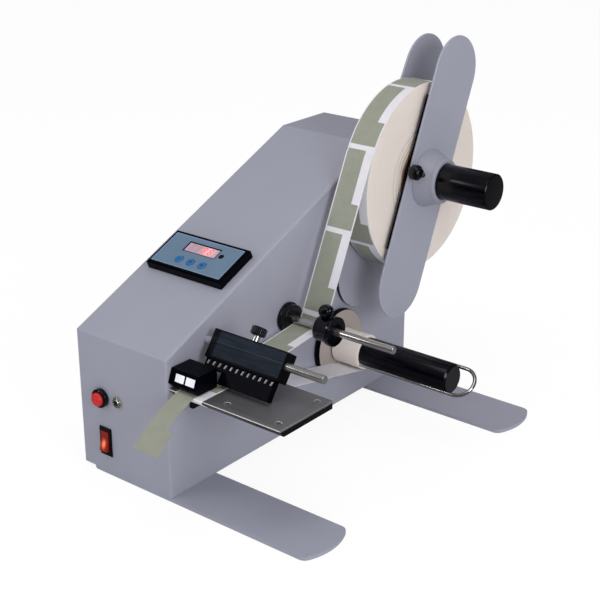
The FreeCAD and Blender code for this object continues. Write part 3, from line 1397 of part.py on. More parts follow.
def controller_board():
    """Circuit board on four posts with a chip and two relays."""
    body = new_body("controller_board")
    right = "board_width - board_left"
    top = "sheet_gauge + board_lift"
    plan = sketch_on(body, "XY_Plane", top)
    box_outline(plan, "-board_left", right, "board_y", "board_y + board_length")
    grow(body, plan, "board_gauge")
    posts = sketch_on(body, "XY_Plane", "sheet_gauge")
    for x in ("-board_left + 2 * board_post", right + " - 2 * board_post"):
        for y in ("board_y + 2 * board_post", "board_y + board_length - 2 * board_post"):
            ring(posts, x, y, "board_post")
    grow(body, posts, "board_lift")
    chip = sketch_on(body, "XY_Plane", top + " + board_gauge")
    middle = "-board_left + board_width / 2"
    box_outline(chip, middle + " - chip_size / 2", middle + " + chip_size / 2",
                "board_y + chip_size", "board_y + 2 * chip_size")
    grow(body, chip, "chip_height")
    relays = sketch_on(body, "XY_Plane", top + " + board_gauge")
    for step in ("0", "relay_size * 1.3"):
        start = "board_y + board_length / 2 + " + step
        box_outline(relays, middle + " - relay_size / 2", middle + " + relay_size / 2", start,
                    start + " + relay_size")
    grow(body, relays, "relay_height")
    return seat(body, "controller_board")


def power_inlet():
    """Mains inlet in the rear panel: flange, body and an open well."""
    body = new_body("power_inlet")
    middle = "-housing_width / 2"

    def rectangle(sketch, grown):
        box_outline(sketch, "%s - inlet_width / 2 %s" % (middle, grown[0]),
                    "%s + inlet_width / 2 %s" % (middle, grown[1]),
                    "inlet_z - inlet_height / 2 " + grown[0],
                    "inlet_z + inlet_height / 2 " + grown[1])

    core = sketch_on(body, "XZ_Plane", "sheet_gauge + inlet_depth - housing_depth")
    rectangle(core, ("", ""))
    grow(body, core, "sheet_gauge + inlet_depth", backwards=True)
    flange = sketch_on(body, "XZ_Plane", "-housing_depth")
    rectangle(flange, ("- inlet_flange / 2", "+ inlet_flange / 2"))
    grow(body, flange, "inlet_flange_gauge", backwards=True)
    well = sketch_on(body, "XZ_Plane", "-housing_depth - inlet_flange_gauge - overrun")
    rectangle(well, ("+ inlet_rim", "- inlet_rim"))
    cut(body, well, "inlet_well + overrun", backwards=True)
    return seat(body, "power_inlet")


# Counter panel on the slope, in its own frame: x from the middle, y up the slope

def slope_seat(body, label):
    turn = FreeCAD.Rotation(FreeCAD.Vector(1, 0, 0), number("atan(%s)" % SLOPE))
    body.Placement = FreeCAD.Placement(FreeCAD.Vector(0, 0, 0), turn)
    bind(body, "Placement.Rotation.Angle", "atan(%s)" % SLOPE)
    return seat(body, label, x="-" + PANEL_MIDDLE, y="panel_line / " + SLOPE_SKEW,
                z="front_height + panel_line * %s / %s" % (SLOPE, SLOPE_SKEW))


def centred_box(sketch, wide, high, lift="0"):
    box_outline(sketch, "-%s / 2" % wide, "%s / 2" % wide, "%s - %s / 2" % (lift, high),
                "%s + %s / 2" % (lift, high))


def key_places():
    return [("-key_spacing", "-key_line"), ("0", "-key_line"), ("key_spacing", "-key_line")]


def panel_bezel():
    """Bevelled black frame with a recess for its face and wells for three keys."""
    body = new_body("panel_bezel")
    base = sketch_on(body, "XY_Plane")
    centred_box(base, "panel_width", "panel_height")
    grow(body, base, "panel_thick")
    rims = edges_at(body, lambda middle, way: near(middle.z, "panel_thick"))
    bevel(body, rims, "panel_bevel")
    recess = sketch_on(body, "XY_Plane", "panel_thick + overrun")
    centred_box(recess, "face_width", "face_height")
    cut(body, recess, "face_gauge + overrun")
    wells = sketch_on(body, "XY_Plane", "panel_thick + overrun")
    for x, y in key_places():
        ring(wells, x, y, "key_radius + part_gap")
    cut(body, wells, "key_gauge + key_travel + part_gap - key_proud + overrun")
    return slope_seat(body, "panel_bezel")


def panel_face():
    """Blue-grey face plate with holes for the window and the keys."""
    body = new_body("panel_face")
    base = sketch_on(body, "XY_Plane", "panel_thick - face_gauge")
    centred_box(base, "face_width", "face_height")
    centred_box(base, "window_width", "window_height", "window_line")
    for x, y in key_places():
        ring(base, x, y, "key_radius + part_gap")
    grow(body, base, "face_gauge")
    return slope_seat(body, "panel_face")


def panel_window():
    body = new_body("panel_window")
    base = sketch_on(body, "XY_Plane", "panel_thick - face_gauge")
    centred_box(base, "window_width", "window_height", "window_line")
    grow(body, base, "face_gauge * 1.2")
    return slope_seat(body, "panel_window")


def panel_key(label, x, y):
    """Round key with a softened top edge."""
    body = new_body(label)
    base = sketch_on(body, "XY_Plane", "panel_thick + key_proud - key_gauge")
    ring(base, x, y, "key_radius")
    grow(body, base, "key_gauge")
    rims = edges_at(body, lambda middle, way: near(middle.z, "panel_thick + key_proud"))
    soften(body, rims, "key_proud * 0.9")
    return slope_seat(body, label)


def counter_case():
    """Case of the counter that hangs below the slope behind its bezel."""
    body = new_body("counter_case")
    base = sketch_on(body, "XY_Plane")
    centred_box(base, "case_width", "case_height")
    grow(body, base, "case_depth", backwards=True)
    return slope_seat(body, "counter_case")


# Front controls, turned about X and then faced forward

def forward_seat(body, label, x, z):
    return seat(body, label, x=x, z=z, axis=(0, 0, -1), angle="90")


def button_collar():
    """Black collar with a barrel through the front wall and a floor for the stem."""
    bore = "button_radius + part_gap"
    barrel = bore + " + collar_wall"
    floor = "-button_sunk - button_travel - part_gap"
    stem = "button_stem_radius + part_gap"
    body = turned("button_collar", [("-collar_depth", stem), (floor, stem), (floor, bore),
                                    ("collar_proud", bore), ("collar_proud", "collar_radius"),
                                    ("0", "collar_radius"), ("0", barrel),
                                    ("-collar_depth", barrel)])
    return forward_seat(body, "button_collar", "-button_x", "button_z")


def push_button():
    """Red cap with a soft rim on its stem."""
    tail = "-collar_depth + button_travel"
    body = turned("push_button", [(tail, "0"), ("button_proud", "0"),
                                  ("button_proud", "button_radius"),
                                  ("-button_sunk", "button_radius"),
                                  ("-button_sunk", "button_stem_radius"),
                                  (tail, "button_stem_radius")])
    rims = edges_at(body, lambda middle, way: near(middle.x, "button_proud")
                    and math.hypot(middle.y, middle.z) > number("button_stem_radius"))
    soften(body, rims, "button_round")
    return forward_seat(body, "push_button", "-button_x", "button_z")


def jack_socket():
    """Round socket with a front nut and a blind bore for a small plug."""
    mouth = "jack_proud"
    body = turned("jack_socket", [("-jack_depth", "0"), ("jack_proud - jack_bore_depth", "0"),
                                  ("jack_proud - jack_bore_depth", "jack_bore_radius"),
                                  (mouth, "jack_bore_radius"), (mouth, "jack_barrel_radius"),
                                  ("jack_nut_gauge", "jack_barrel_radius + fit_gap"),
                                  ("jack_nut_gauge", "jack_nut_radius"),
                                  ("0", "jack_nut_radius"), ("0", "jack_barrel_radius"),
                                  ("-jack_depth", "jack_barrel_radius")])
    return forward_seat(body, "jack_socket", "-jack_x", "jack_z")


def rocker_seat(body, label):
    return seat(body, label, x="-rocker_x", y="rocker_pivot_depth", z="rocker_z")


def rocker_frame():
    """Black frame with a body behind the wall and bores for the rocker's pins."""
    body = new_body("rocker_frame")
    flange = sketch_on(body, "XZ_Plane", "rocker_pivot_depth")
    centred_box(flange, "rocker_bezel_width", "rocker_bezel_height")
    grow(body, flange, "rocker_bezel_gauge")
    rims = edges_at(body, lambda middle, way:
                    near(middle.y, "-rocker_pivot_depth - rocker_bezel_gauge"))
    bevel(body, rims, "rocker_bezel_gauge / 3")
    core = sketch_on(body, "XZ_Plane", "rocker_pivot_depth")
    centred_box(core, "rocker_body_width", "rocker_body_height")
    grow(body, core, "rocker_body_depth", backwards=True)
    well = sketch_on(body, "XZ_Plane", "rocker_pivot_depth + rocker_bezel_gauge + overrun")
    centred_box(well, "(rocker_width + 2 * part_gap)", "(rocker_height + 2 * rocker_dip)")
    depth = "rocker_bezel_gauge + overrun + rocker_pivot_depth + rocker_back + 2 * part_gap"
    cut(body, well, depth + " + rocker_dip")
    pins = sketch_on(body, "YZ_Plane", "rocker_body_width")
    ring(pins, "0", "0", "rocker_pin_radius + fit_gap")
    cut(body, pins, "2 * rocker_body_width")
    return rocker_seat(body, "rocker_frame")


def power_rocker():
    """Rocker with a dipped front, tilted so that its lower end stands out."""
    body = new_body("power_rocker")
    side = sketch_on(body, "YZ_Plane", "-rocker_width / 2")
    half = "rocker_height / 2"
    outline(side, [("-rocker_front", "-" + half), ("rocker_back", "-" + half),
                   ("rocker_back", half), ("-rocker_front", half),
                   ("rocker_dip - rocker_front", "0")])
    grow(body, side, "rocker_width")
    ends = edges_at(body, lambda middle, way: abs(way.x) > 1 - number("fit_gap")
                    and near(middle.y, "-rocker_front"))
    soften(body, ends, "rocker_dip / 2")
    pins = sketch_on(body, "YZ_Plane", "-rocker_body_width / 2 + part_gap")
    ring(pins, "0", "0", "rocker_pin_radius")
    grow(body, pins, "rocker_body_width - 2 * part_gap")
    turn = FreeCAD.Rotation(FreeCAD.Vector(-1, 0, 0), number("rocker_angle"))
    body.Placement = FreeCAD.Placement(FreeCAD.Vector(0, 0, 0), turn)
    bind(body, "Placement.Rotation.Angle", "rocker_angle")
    return rocker_seat(body, "power_rocker")


def build():
    housing_shell()
    left_cover()
    rear_panel()
    base_plate()
    foot("front_foot", "foot_width / 2", "foot_right")
    foot("rear_foot", "rear_foot_line", "rear_foot_right")
    cover_screws()
    foot_screws()
    plate_support()
    peel_plate()
    plate_screws()
    sensor_head()
    sensor_windows()
    web_pieces()
    web_labels()
    dispensed_label()
    press_rod()
    press_channel()
    press_comb()
    press_knob()
    guide_rod()
    guide_flange()
    guide_collar()
    collar_knob()
    supply_bearing()
    supply_shaft()
    paddle("inner_paddle", "paddle_near", "spindle_radius", "inner_paddle_angle")
    paddle("outer_paddle", OUTER_PADDLE_NEAR, "supply_shaft_radius + 2 * fit_gap",
           "outer_paddle_angle")
    roll_part("core_adapter", "web_near + adapter_margin", WEB_FAR + " - adapter_margin",
              "supply_shaft_radius", "core_inner")
    roll_part("roll_core", "web_near", WEB_FAR, "core_inner", "core_outer")
    roll_part("label_roll", "web_near", WEB_FAR, "core_outer", "roll_radius")
    outer_hub()
    hub_thumbscrew()
    rewind_bearing()
    rewind_mandrel()
    rewind_flange()
    backing_wrap()
    mandrel_clip()
    drive_pulley()
    motor_pulley()
    drive_belt()
    motor_bracket()
    gear_motor()
    power_supply()
    controller_board()
    power_inlet()
    panel_bezel()
    panel_face()
    panel_window()
    counter_case()
    for label, (x, y) in zip(("left_key", "middle_key", "right_key"), key_places()):
        panel_key(label, x, y)
    button_collar()
    push_button()
    jack_socket()
    rocker_frame()
    power_rocker()
    DOC.recompute()


def write_parts():
    """Checks every object, then writes each piece to its own file."""
    for thing in DOC.Objects:
        if any(word in thing.State for word in ("Invalid", "Error")):
            raise RuntimeError("%s has failed: %s" % (thing.Name, thing.State))
    for piece in PARTS:
        shape = piece.Shape
        if shape.isNull() or not shape.isValid() or shape.Volume <= 0:
            raise RuntimeError(piece.Label + " has no valid solid")
    os.makedirs("parts", exist_ok=True)
    for piece in PARTS:
        piece.Shape.exportStep(os.path.join("parts", piece.Label + ".step"))
        print("%-20s %2d solids %12.1f mm3" % (piece.Label, len(piece.Shape.Solids),
                                               piece.Shape.Volume))
    print(len(PARTS), "pieces")


build()
write_parts()
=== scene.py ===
import json
import math

import bmesh
import bpy
from mathutils import Matrix, Vector


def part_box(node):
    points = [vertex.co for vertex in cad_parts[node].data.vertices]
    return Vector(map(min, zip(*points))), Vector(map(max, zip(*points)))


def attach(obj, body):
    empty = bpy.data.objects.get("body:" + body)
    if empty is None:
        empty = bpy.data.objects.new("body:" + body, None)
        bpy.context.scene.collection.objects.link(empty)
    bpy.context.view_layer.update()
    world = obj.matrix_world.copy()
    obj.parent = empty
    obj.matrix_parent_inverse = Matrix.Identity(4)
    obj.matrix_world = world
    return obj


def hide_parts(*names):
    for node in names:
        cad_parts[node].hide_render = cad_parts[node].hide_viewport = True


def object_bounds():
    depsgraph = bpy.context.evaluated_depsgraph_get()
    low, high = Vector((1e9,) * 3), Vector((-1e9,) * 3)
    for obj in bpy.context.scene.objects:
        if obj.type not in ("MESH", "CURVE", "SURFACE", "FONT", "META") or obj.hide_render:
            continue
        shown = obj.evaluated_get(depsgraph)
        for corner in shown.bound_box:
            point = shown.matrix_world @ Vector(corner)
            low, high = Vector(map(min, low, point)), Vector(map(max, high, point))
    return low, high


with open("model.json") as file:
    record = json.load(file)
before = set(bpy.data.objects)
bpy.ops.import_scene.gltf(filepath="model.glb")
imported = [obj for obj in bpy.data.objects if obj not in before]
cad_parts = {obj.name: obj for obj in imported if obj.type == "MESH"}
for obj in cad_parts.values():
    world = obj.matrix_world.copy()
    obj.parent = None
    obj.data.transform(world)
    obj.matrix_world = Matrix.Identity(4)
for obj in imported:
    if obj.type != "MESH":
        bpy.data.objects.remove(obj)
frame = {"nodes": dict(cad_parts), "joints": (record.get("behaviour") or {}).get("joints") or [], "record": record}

bl_info = {
    "name": "Label dispenser finish",
    "version": (1, 0, 0),
    "blender": (4, 5, 0),
    "location": "3D View > Sidebar > Dispenser",
    "description": "Surfaces and fine shapes of a desk label dispenser",
    "category": "Object",
}

MM = 0.001
WHITE = (1, 1, 1, 1)
CAD_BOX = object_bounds()
BODY_OF = {node: body for body, nodes in frame["record"]["behaviour"]["bodies"].items()
           for node in nodes}
SLOT_OF = {part["node"]: part["material_slot"] for part in frame["record"]["subparts"]}
JOINTS = {joint["name"]: joint for joint in frame["joints"]}
X_WAY, Y_WAY, Z_WAY = Vector((1, 0, 0)), Vector((0, 1, 0)), Vector((0, 0, 1))
FRONT_Y = -33 * MM
SLOPE = math.atan2(292 - 150, 326)


def joint_place(name):
    """Point on a joint's axis."""
    return Vector(JOINTS[name]["pos_m"])


def joint_way(name):
    return Vector(JOINTS[name]["axis"]).normalized()


REEL = joint_place("reel_spin")
MANDREL = joint_place("rewind_spin")
PRESS = joint_place("press_lift")
ROD_LOW, ROD_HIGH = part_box("guide_rod")
GUIDE = (ROD_LOW + ROD_HIGH) / 2
SHAFT_RADIUS = 19.7 * MM
CORE_RADIUS = 42 * MM
COMB_PITCH = 7.2 * MM
SCREW_HEAD = 2.2 * MM


def linear(hexa):
    """Linear colour of an sRGB hex value."""
    channels = [int(hexa[start:start + 2], 16) / 255 for start in (0, 2, 4)]
    return [c / 12.92 if c <= 0.04045 else ((c + 0.055) / 1.055) ** 2.4
            for c in channels] + [1.0]


def shade(colour, factor):
    return [min(channel * factor, 1.0) for channel in colour[:3]] + [1.0]


def tint(hexa, name, description):
    """Colour property."""
    return bpy.props.FloatVectorProperty(name=name, description=description, size=4,
                                         default=linear(hexa), subtype="COLOR", min=0, max=1)


def number(name, default, description, **settings):
    return bpy.props.FloatProperty(name=name, default=default, description=description,
                                   **settings)


def size(mm, name, description):
    """Length property, its default in millimetres."""
    return number(name, mm * MM, description, unit="LENGTH", precision=5, min=0)


class DispenserColours(bpy.types.PropertyGroup):
    paint: tint("9FA0AF", "Paint", "Powder coat of the housing, feet, paddles and hub")
    black: tint("02030A", "Black", "Anodised and moulded black pieces")
    slate: tint("1E2631", "Slate", "Anodised face of the press channel")
    plate: tint("5D5D60", "Plate", "Ground face of the peel plate")
    steel: tint("C4C1BE", "Steel", "Rods, clip and plate edge")
    zinc: tint("B0B0B4", "Zinc", "Zinc plated screws and bracket")
    backing: tint("E6E4EA", "Backing", "Coated backing paper")
    label: tint("999C8E", "Label", "Label stock")
    wound: tint("E6DBD4", "Wound paper", "Edge of the wound roll")
    core: tint("AB8762", "Core", "Spiral wound core board")
    disc: tint("A79D99", "Disc", "Disc behind the wound backing")
    face: tint("677E96", "Panel face", "Printed face of the counter")
    window: tint("BBA9BA", "Window", "Unlit part of the digit window")
    glow: tint("F4503C", "Glow", "Lit digits")
    key: tint("256AA6", "Keys", "Round panel keys")
    button: tint("CC2A28", "Button", "Push button cap")
    rocker: tint("86180F", "Rocker", "Lit rocker")


class DispenserSizes(bpy.types.PropertyGroup):
    edge: size(0.35, "Edge", "Rounding of sheet and block edges")
    label_length: size(84.5, "Label length", "Length of one label")
    label_spacing: size(90, "Label spacing", "Length of label and gap")
    label_notch: size(57, "Notch length", "Notched part of a label")
    label_border: size(1.5, "Label border", "Backing left beside the labels")
    notch_width: size(9, "Notch width", "Width of the notch")
    label_gauge: size(0.22, "Label gauge", "Rise of a label over the roll")
    digit_height: size(9.2, "Digit height", "Height of a lit digit")
    knob_radius: size(8.7, "Ball knob", "Radius of the ball knobs")
    ridge_depth: size(0.7, "Ridge depth", "Depth of the press knob's ridges")
    ridge_count: bpy.props.IntProperty(name="Ridges", default=24, min=3,
                                       description="Ridges round the press knob")
    wire_radius: size(2, "Clip wire", "Radius of the clip's wire")


class DispenserStage(bpy.types.PropertyGroup):
    azimuth: number("Azimuth", math.radians(38.8), "Camera's turn to the right",
                    subtype="ANGLE", unit="ROTATION")
    elevation: number("Elevation", math.radians(22.31), "Camera's height over the table",
                      subtype="ANGLE", unit="ROTATION")
    distance: number("Distance", 1.39047, "Camera's distance from its target", unit="LENGTH")
    lens: number("Lens", 78.8, "Focal length in millimetres", min=1)
    fill: number("Fill", 0.62, "Level of the even light from all round", min=0)
    lamps: number("Lamps", 1.0, "Factor on every lamp", min=0)


def colours():
    return bpy.context.scene.dispenser_colours


def sizes():
    return bpy.context.scene.dispenser_sizes


# Materials

def per(mm):
    """Texture scale that gives a pattern of this size."""
    return 1 / (mm * MM)


def empty_tree(owner):
    owner.use_nodes = True
    owner.node_tree.nodes.clear()
    return owner.node_tree


def add(tree, kind, inputs=None, **settings):
    """Adds a node. An input takes a value or another node's output."""
    item = tree.nodes.new(kind)
    for name, value in settings.items():
        setattr(item, name, value)
    for key, value in (inputs or {}).items():
        if isinstance(value, bpy.types.NodeSocket):
            tree.links.new(value, item.inputs[key])
        else:
            item.inputs[key].default_value = value
    return item


def ramp(tree, value, low, high, start=0.0, end=1.0, **settings):
    """Carries a value over from one range to another and holds it at both ends."""
    return add(tree, "ShaderNodeMapRange",
               {"Value": value, "From Min": low, "From Max": high, "To Min": start,
                "To Max": end}, **settings).outputs[0]


def maths(tree, operation, *values):
    return add(tree, "ShaderNodeMath", dict(enumerate(values)), operation=operation).outputs[0]


def vector(tree, operation, *values, output="Vector", **inputs):
    return add(tree, "ShaderNodeVectorMath", {**dict(enumerate(values)), **inputs},
               operation=operation).outputs[output]


def noise(tree, place, mm, detail):
    return add(tree, "ShaderNodeTexNoise", {"Vector": place, "Scale": per(mm),
                                            "Detail": detail}).outputs[0]


def blend(tree, share, first, second):
    """Mix of two colours."""
    return add(tree, "ShaderNodeMix", {0: share, 6: first, 7: second},
               data_type="RGBA").outputs[2]


def shader_mix(tree, share, first, second):
    return add(tree, "ShaderNodeMixShader", {0: share, 1: first, 2: second}).outputs[0]


def object_place(tree, centre=None, stretch=(1, 1, 1)):
    """Place on the object, measured from a centre and stretched where one is given."""
    place = add(tree, "ShaderNodeTexCoord").outputs["Object"]
    if centre is None:
        return place
    return vector(tree, "MULTIPLY", vector(tree, "SUBTRACT", place, centre), stretch)


def along_x(tree):
    return add(tree, "ShaderNodeSeparateXYZ", {0: object_place(tree)}).outputs["X"]


def recolour(tree, share, colour):
    """Mixes another colour into the skin's."""
    base = tree.nodes["skin"].inputs["Base Color"]
    tree.links.new(blend(tree, share, base.links[0].from_socket, colour), base)


def surface(name, colour, rough, metal=0.0, tone=0.04, tone_mm=45.0, grain=0.15,
            grain_mm=1.2, relief_mm=0.03, lay=(1, 1, 1), streak=0.0, spread=0.06, coat=0.0,
            shine=0.5, coat_rough=0.08):
    """Material whose tone drifts slowly and whose grain shows as relief, gloss and streaks."""
    material = bpy.data.materials.get(name)
    if material:
        return material
    material = bpy.data.materials.new(name)
    tree = empty_tree(material)
    place = object_place(tree)
    laid = add(tree, "ShaderNodeMapping", {"Vector": place, "Scale": lay}).outputs[0]
    drift, fine = noise(tree, place, tone_mm, 3.0), noise(tree, laid, grain_mm, 2.0)
    base = blend(tree, ramp(tree, drift, 0.3, 0.7), shade(colour, 1 - tone),
                 shade(colour, 1 + tone))
    worn = blend(tree, ramp(tree, fine, 0.35, 0.65, 0.0, streak), base, shade(colour, 0.55))
    gloss = ramp(tree, fine, 0.3, 0.7, max(rough - spread, 0.02), min(rough + spread, 1.0))
    bump = add(tree, "ShaderNodeBump", {"Height": fine, "Strength": grain,
                                        "Distance": relief_mm * MM}).outputs[0]
    skin = add(tree, "ShaderNodeBsdfPrincipled",
               {"Base Color": worn, "Roughness": gloss, "Normal": bump, "Metallic": metal,
                "Coat Weight": coat, "Specular IOR Level": shine,
                "Coat Roughness": coat_rough}, name="skin")
    add(tree, "ShaderNodeOutputMaterial", {"Surface": skin.outputs[0]}, name="end")
    return material


def powder_coat():
    # Satin polyester powder: slow drift of tone and a fine orange peel, drawn 1.6 mm wide
    return surface("powder_coated_steel", colours().paint, 0.46, tone=0.025, tone_mm=90,
                   grain=0.16, grain_mm=1.6, relief_mm=0.05, spread=0.05)


def black_anodised():
    # Turned aluminium, black anodised: fine rings round the axis, soft sheen
    return surface("black_anodised_aluminium", colours().black, 0.3, metal=0.25, tone=0.1,
                   grain=0.1, grain_mm=0.5, relief_mm=0.01, lay=(1, 0.06, 0.06), streak=0.15,
                   shine=0.05, coat=0.45, coat_rough=0.18)


def slate_anodised():
    # Extruded and anodised section: draw lines run along it and catch grey light. The ends,
    #     # the upper edge and the lip are blacker as painted shade; one faint line runs along the middle
    material = surface("slate_anodised_aluminium", colours().slate, 0.42, metal=0.3, tone=0.2,
                       tone_mm=26, grain=0.2, grain_mm=0.9, relief_mm=0.02,
                       lay=(0.03, 1, 1), streak=0.35, spread=0.1, shine=0.12)
    tree = material.node_tree
    if "lip" in tree.nodes:
        return material
    along = along_x(tree)
    up = vector(tree, "DOT_PRODUCT", object_place(tree, (0, PRESS.y, PRESS.z)),
                joint_way("press_knob_turn"), output="Value")
    # Painted shade: the lip, the upper edge and both ends are mixed towards black
    dark = ramp(tree, up, -14.2 * MM, -13.0 * MM, 1.0, 0.0, name="lip")
    for black in (ramp(tree, up, 11.2 * MM, 12.4 * MM),
                  ramp(tree, along, 17 * MM, 19 * MM, 1.0, 0.0),
                  ramp(tree, along, 99.6 * MM, 100.6 * MM)):
        dark = maths(tree, "MAXIMUM", dark, black)
    away = maths(tree, "ABSOLUTE", maths(tree, "SUBTRACT", up, 1.2 * MM))
    recolour(tree, ramp(tree, away, 0.3 * MM, 0.8 * MM, 0.3, 0.0), shade(colours().slate, 4))
    recolour(tree, dark, colours().black)
    return material


def black_moulded():
    # Spark eroded ABS: fine pebble that breaks the highlight up
    return surface("moulded_black_abs", colours().black, 0.38, tone=0.12, grain=0.3,
                   grain_mm=0.7, relief_mm=0.03, spread=0.08, shine=0.05)


def black_glossy():
    # Polished phenolic: deep black with a clear highlight
    return surface("polished_black_phenolic", colours().black, 0.24, tone=0.08, grain=0.06,
                   grain_mm=2.5, relief_mm=0.02, spread=0.05, coat=0.6, shine=0.05,
                   coat_rough=0.13)


def ground_plate():
    # Ground and darkened steel: cloudy tone with short grinding lines across the web, and
    #     # painted light that makes it a little paler towards the free end
    material = surface("ground_peel_steel", colours().plate, 0.42, metal=0.3, tone=0.16,
                       tone_mm=30, grain=0.18, grain_mm=0.7, relief_mm=0.012,
                       lay=(0.05, 1, 1), streak=0.25, spread=0.09, shine=0.4)
    tree = material.node_tree
    if "worn" not in tree.nodes:
        # Painted light: the plate turns paler towards its free end
        recolour(tree, ramp(tree, along_x(tree), 60 * MM, 125 * MM, 0.0, 0.8, name="worn"),
                 shade(colours().plate, 1.6))
    return material


def bright_edge():
    # Polished bevel of the plate: a thin bright line round the dark face, its colour a third lighter than the
    # steel's as painted highlight
    return surface("polished_steel_edge", shade(colours().steel, 1.3), 0.4, metal=0.35,
                   tone=0.04, grain=0.08, grain_mm=0.6, relief_mm=0.01, lay=(0.1, 1, 1))


def polished_rod():
    # Centreless ground rod: mirror bands broken by very fine turning marks
    return surface("polished_steel_rod", shade(colours().steel, 1.15), 0.2, metal=0.92, tone=0.05,
                   grain=0.07, grain_mm=0.4, relief_mm=0.008, lay=(1, 0.05, 0.05),
                   streak=0.2, spread=0.05)


def bright_wire():
    # Bright drawn spring wire: lines along the wire
    return surface("bright_drawn_wire", colours().steel, 0.14, metal=1.0, tone=0.05,
                   grain=0.08, grain_mm=0.35, relief_mm=0.01, lay=(0.05, 1, 1), streak=0.15)


def spring_tongue():
    # Grey spring strip: satin, a little cloudy, so that every tongue looks a bit different
    return surface("grey_spring_strip", linear("8E8D92"), 0.45, metal=0.3, tone=0.4, tone_mm=5,
                   grain=0.1, grain_mm=0.5, relief_mm=0.01)


def zinc_plate():
    # Zinc plate with a faint spangle
    return surface("zinc_plated_steel", colours().zinc, 0.33, metal=0.9, tone=0.1, tone_mm=6,
                   grain=0.12, grain_mm=0.8, relief_mm=0.01, streak=0.15)


def backing_paper():
    # Glassine with a release coat: faint fibre clouds and a satin face
    return surface("release_coated_paper", colours().backing, 0.5, tone=0.03, tone_mm=14,
                   grain=0.12, grain_mm=1.1, relief_mm=0.02)


def label_stock():
    # Matt uncoated label paper: short fibres in the tone
    return surface("matt_label_paper", colours().label, 0.72, tone=0.05, tone_mm=11,
                   grain=0.2, grain_mm=0.9, relief_mm=0.02, streak=0.1)


def peeled_stock():
    # The same paper lifted off its backing, its base colour a quarter lighter as painted light; some light comes
    # through
    material = surface("peeled_label_paper", shade(colours().label, 1.25), 0.7, tone=0.05,
                       tone_mm=11, grain=0.2, grain_mm=0.9, relief_mm=0.02)
    tree = material.node_tree
    if "through" not in tree.nodes:
        through = add(tree, "ShaderNodeBsdfTranslucent",
                      {"Color": shade(colours().label, 1.5)}, name="through").outputs[0]
        both = shader_mix(tree, 0.3, tree.nodes["skin"].outputs[0], through)
        tree.links.new(both, tree.nodes["end"].inputs["Surface"])
    return material


def wound_edge(name, colour, centre, layer_mm, contrast):
    # Cut edge of many paper layers: uneven rings about the axis, drawn coarser than paper
    material = surface(name, colour, 0.7, tone=0.05, tone_mm=60, grain=0.2, grain_mm=0.8,
                       relief_mm=0.02)
    tree = material.node_tree
    if "layers" in tree.nodes:
        return material
    radius = vector(tree, "LENGTH", object_place(tree, centre, (0, 1, 1)), output="Value")
    layers = add(tree, "ShaderNodeTexNoise", {"W": radius, "Scale": per(layer_mm),
                                              "Detail": 4.0, "Roughness": 0.7},
                 noise_dimensions="1D", name="layers").outputs[0]
    recolour(tree, ramp(tree, layers, 0.35, 0.68, 0.0, contrast), shade(colour, 0.68))
    ridges = add(tree, "ShaderNodeBump", {"Height": layers, "Strength": 0.5,
                                          "Distance": 0.15 * MM}).outputs[0]
    tree.links.new(ridges, tree.nodes["skin"].inputs["Normal"])
    return material


def core_board():
    # Spiral wound grey-brown board: slanting seams and fibre flecks
    return surface("spiral_wound_board", colours().core, 0.8, tone=0.1, tone_mm=12, grain=0.4,
                   grain_mm=1.4, relief_mm=0.06, lay=(0.35, 1, 1), streak=0.3)


def soft_plastic(name, colour, rough=0.35, coat=0.0):
    # Injection moulded cap or disc: almost even colour, faint flow clouds and a soft shine
    return surface(name, colour, rough, tone=0.04, tone_mm=16, grain=0.08, grain_mm=1.4,
                   relief_mm=0.02, coat=coat)


def lit(name, colour, dark, centre, reach_mm, level, stretch=(1, 1, 1)):
    # Lamp behind a translucent lens: brightest over the lamp and darker towards the rim
    material = surface(name, dark, 0.18, tone=0.05, grain=0.05, grain_mm=1.5, relief_mm=0.01,
                       coat=0.4)
    tree = material.node_tree
    if "lamp" in tree.nodes:
        return material
    away = vector(tree, "LENGTH", object_place(tree, centre, stretch), output="Value")
    fall = ramp(tree, away, 0.0, reach_mm * MM, 1.0, 0.0, name="lamp",
                interpolation_type="SMOOTHSTEP")
    skin = tree.nodes["skin"]
    tree.links.new(blend(tree, fall, shade(dark, 0.4), colour), skin.inputs["Emission Color"])
    tree.links.new(maths(tree, "MULTIPLY", fall, level), skin.inputs["Emission Strength"])
    return material


# Shapes

def new_piece(name, data, material=None):
    """Object at the origin that holds a mesh."""
    piece = bpy.data.objects.new(name, data)
    bpy.context.scene.collection.objects.link(piece)
    if material:
        data.materials.append(material)
    return piece


def smooth(data, angle=35):
    """Smooth shading with the corners kept."""
    for polygon in data.polygons:
        polygon.use_smooth = True
    data.set_sharp_from_angle(angle=math.radians(angle))


def settle(piece, body, *nodes, slot=None):
    """Puts a piece on its body in the place of the nodes it stands for."""
    if nodes:
        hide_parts(*nodes)
    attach(piece, body)
    return piece


def to_mesh(shape, name):
    data = bpy.data.meshes.new(name)
    bmesh.ops.recalc_face_normals(shape, faces=shape.faces[:])
    shape.to_mesh(data)
    shape.free()
    return data


def baked(piece):
    """Makes the evaluated result the piece's own plain mesh."""
    graph = bpy.context.evaluated_depsgraph_get()
    result = bpy.data.meshes.new_from_object(piece.evaluated_get(graph))
    if not result.polygons:
        raise RuntimeError("nothing is left of " + piece.name)
    piece.modifiers.clear()
    piece.data = result
    return piece


def merged(node):
    """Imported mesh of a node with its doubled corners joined."""
    shape = bmesh.new()
    shape.from_mesh(frame["nodes"][node].data)
    bmesh.ops.remove_doubles(shape, verts=shape.verts[:], dist=0.004 * MM)
    return shape


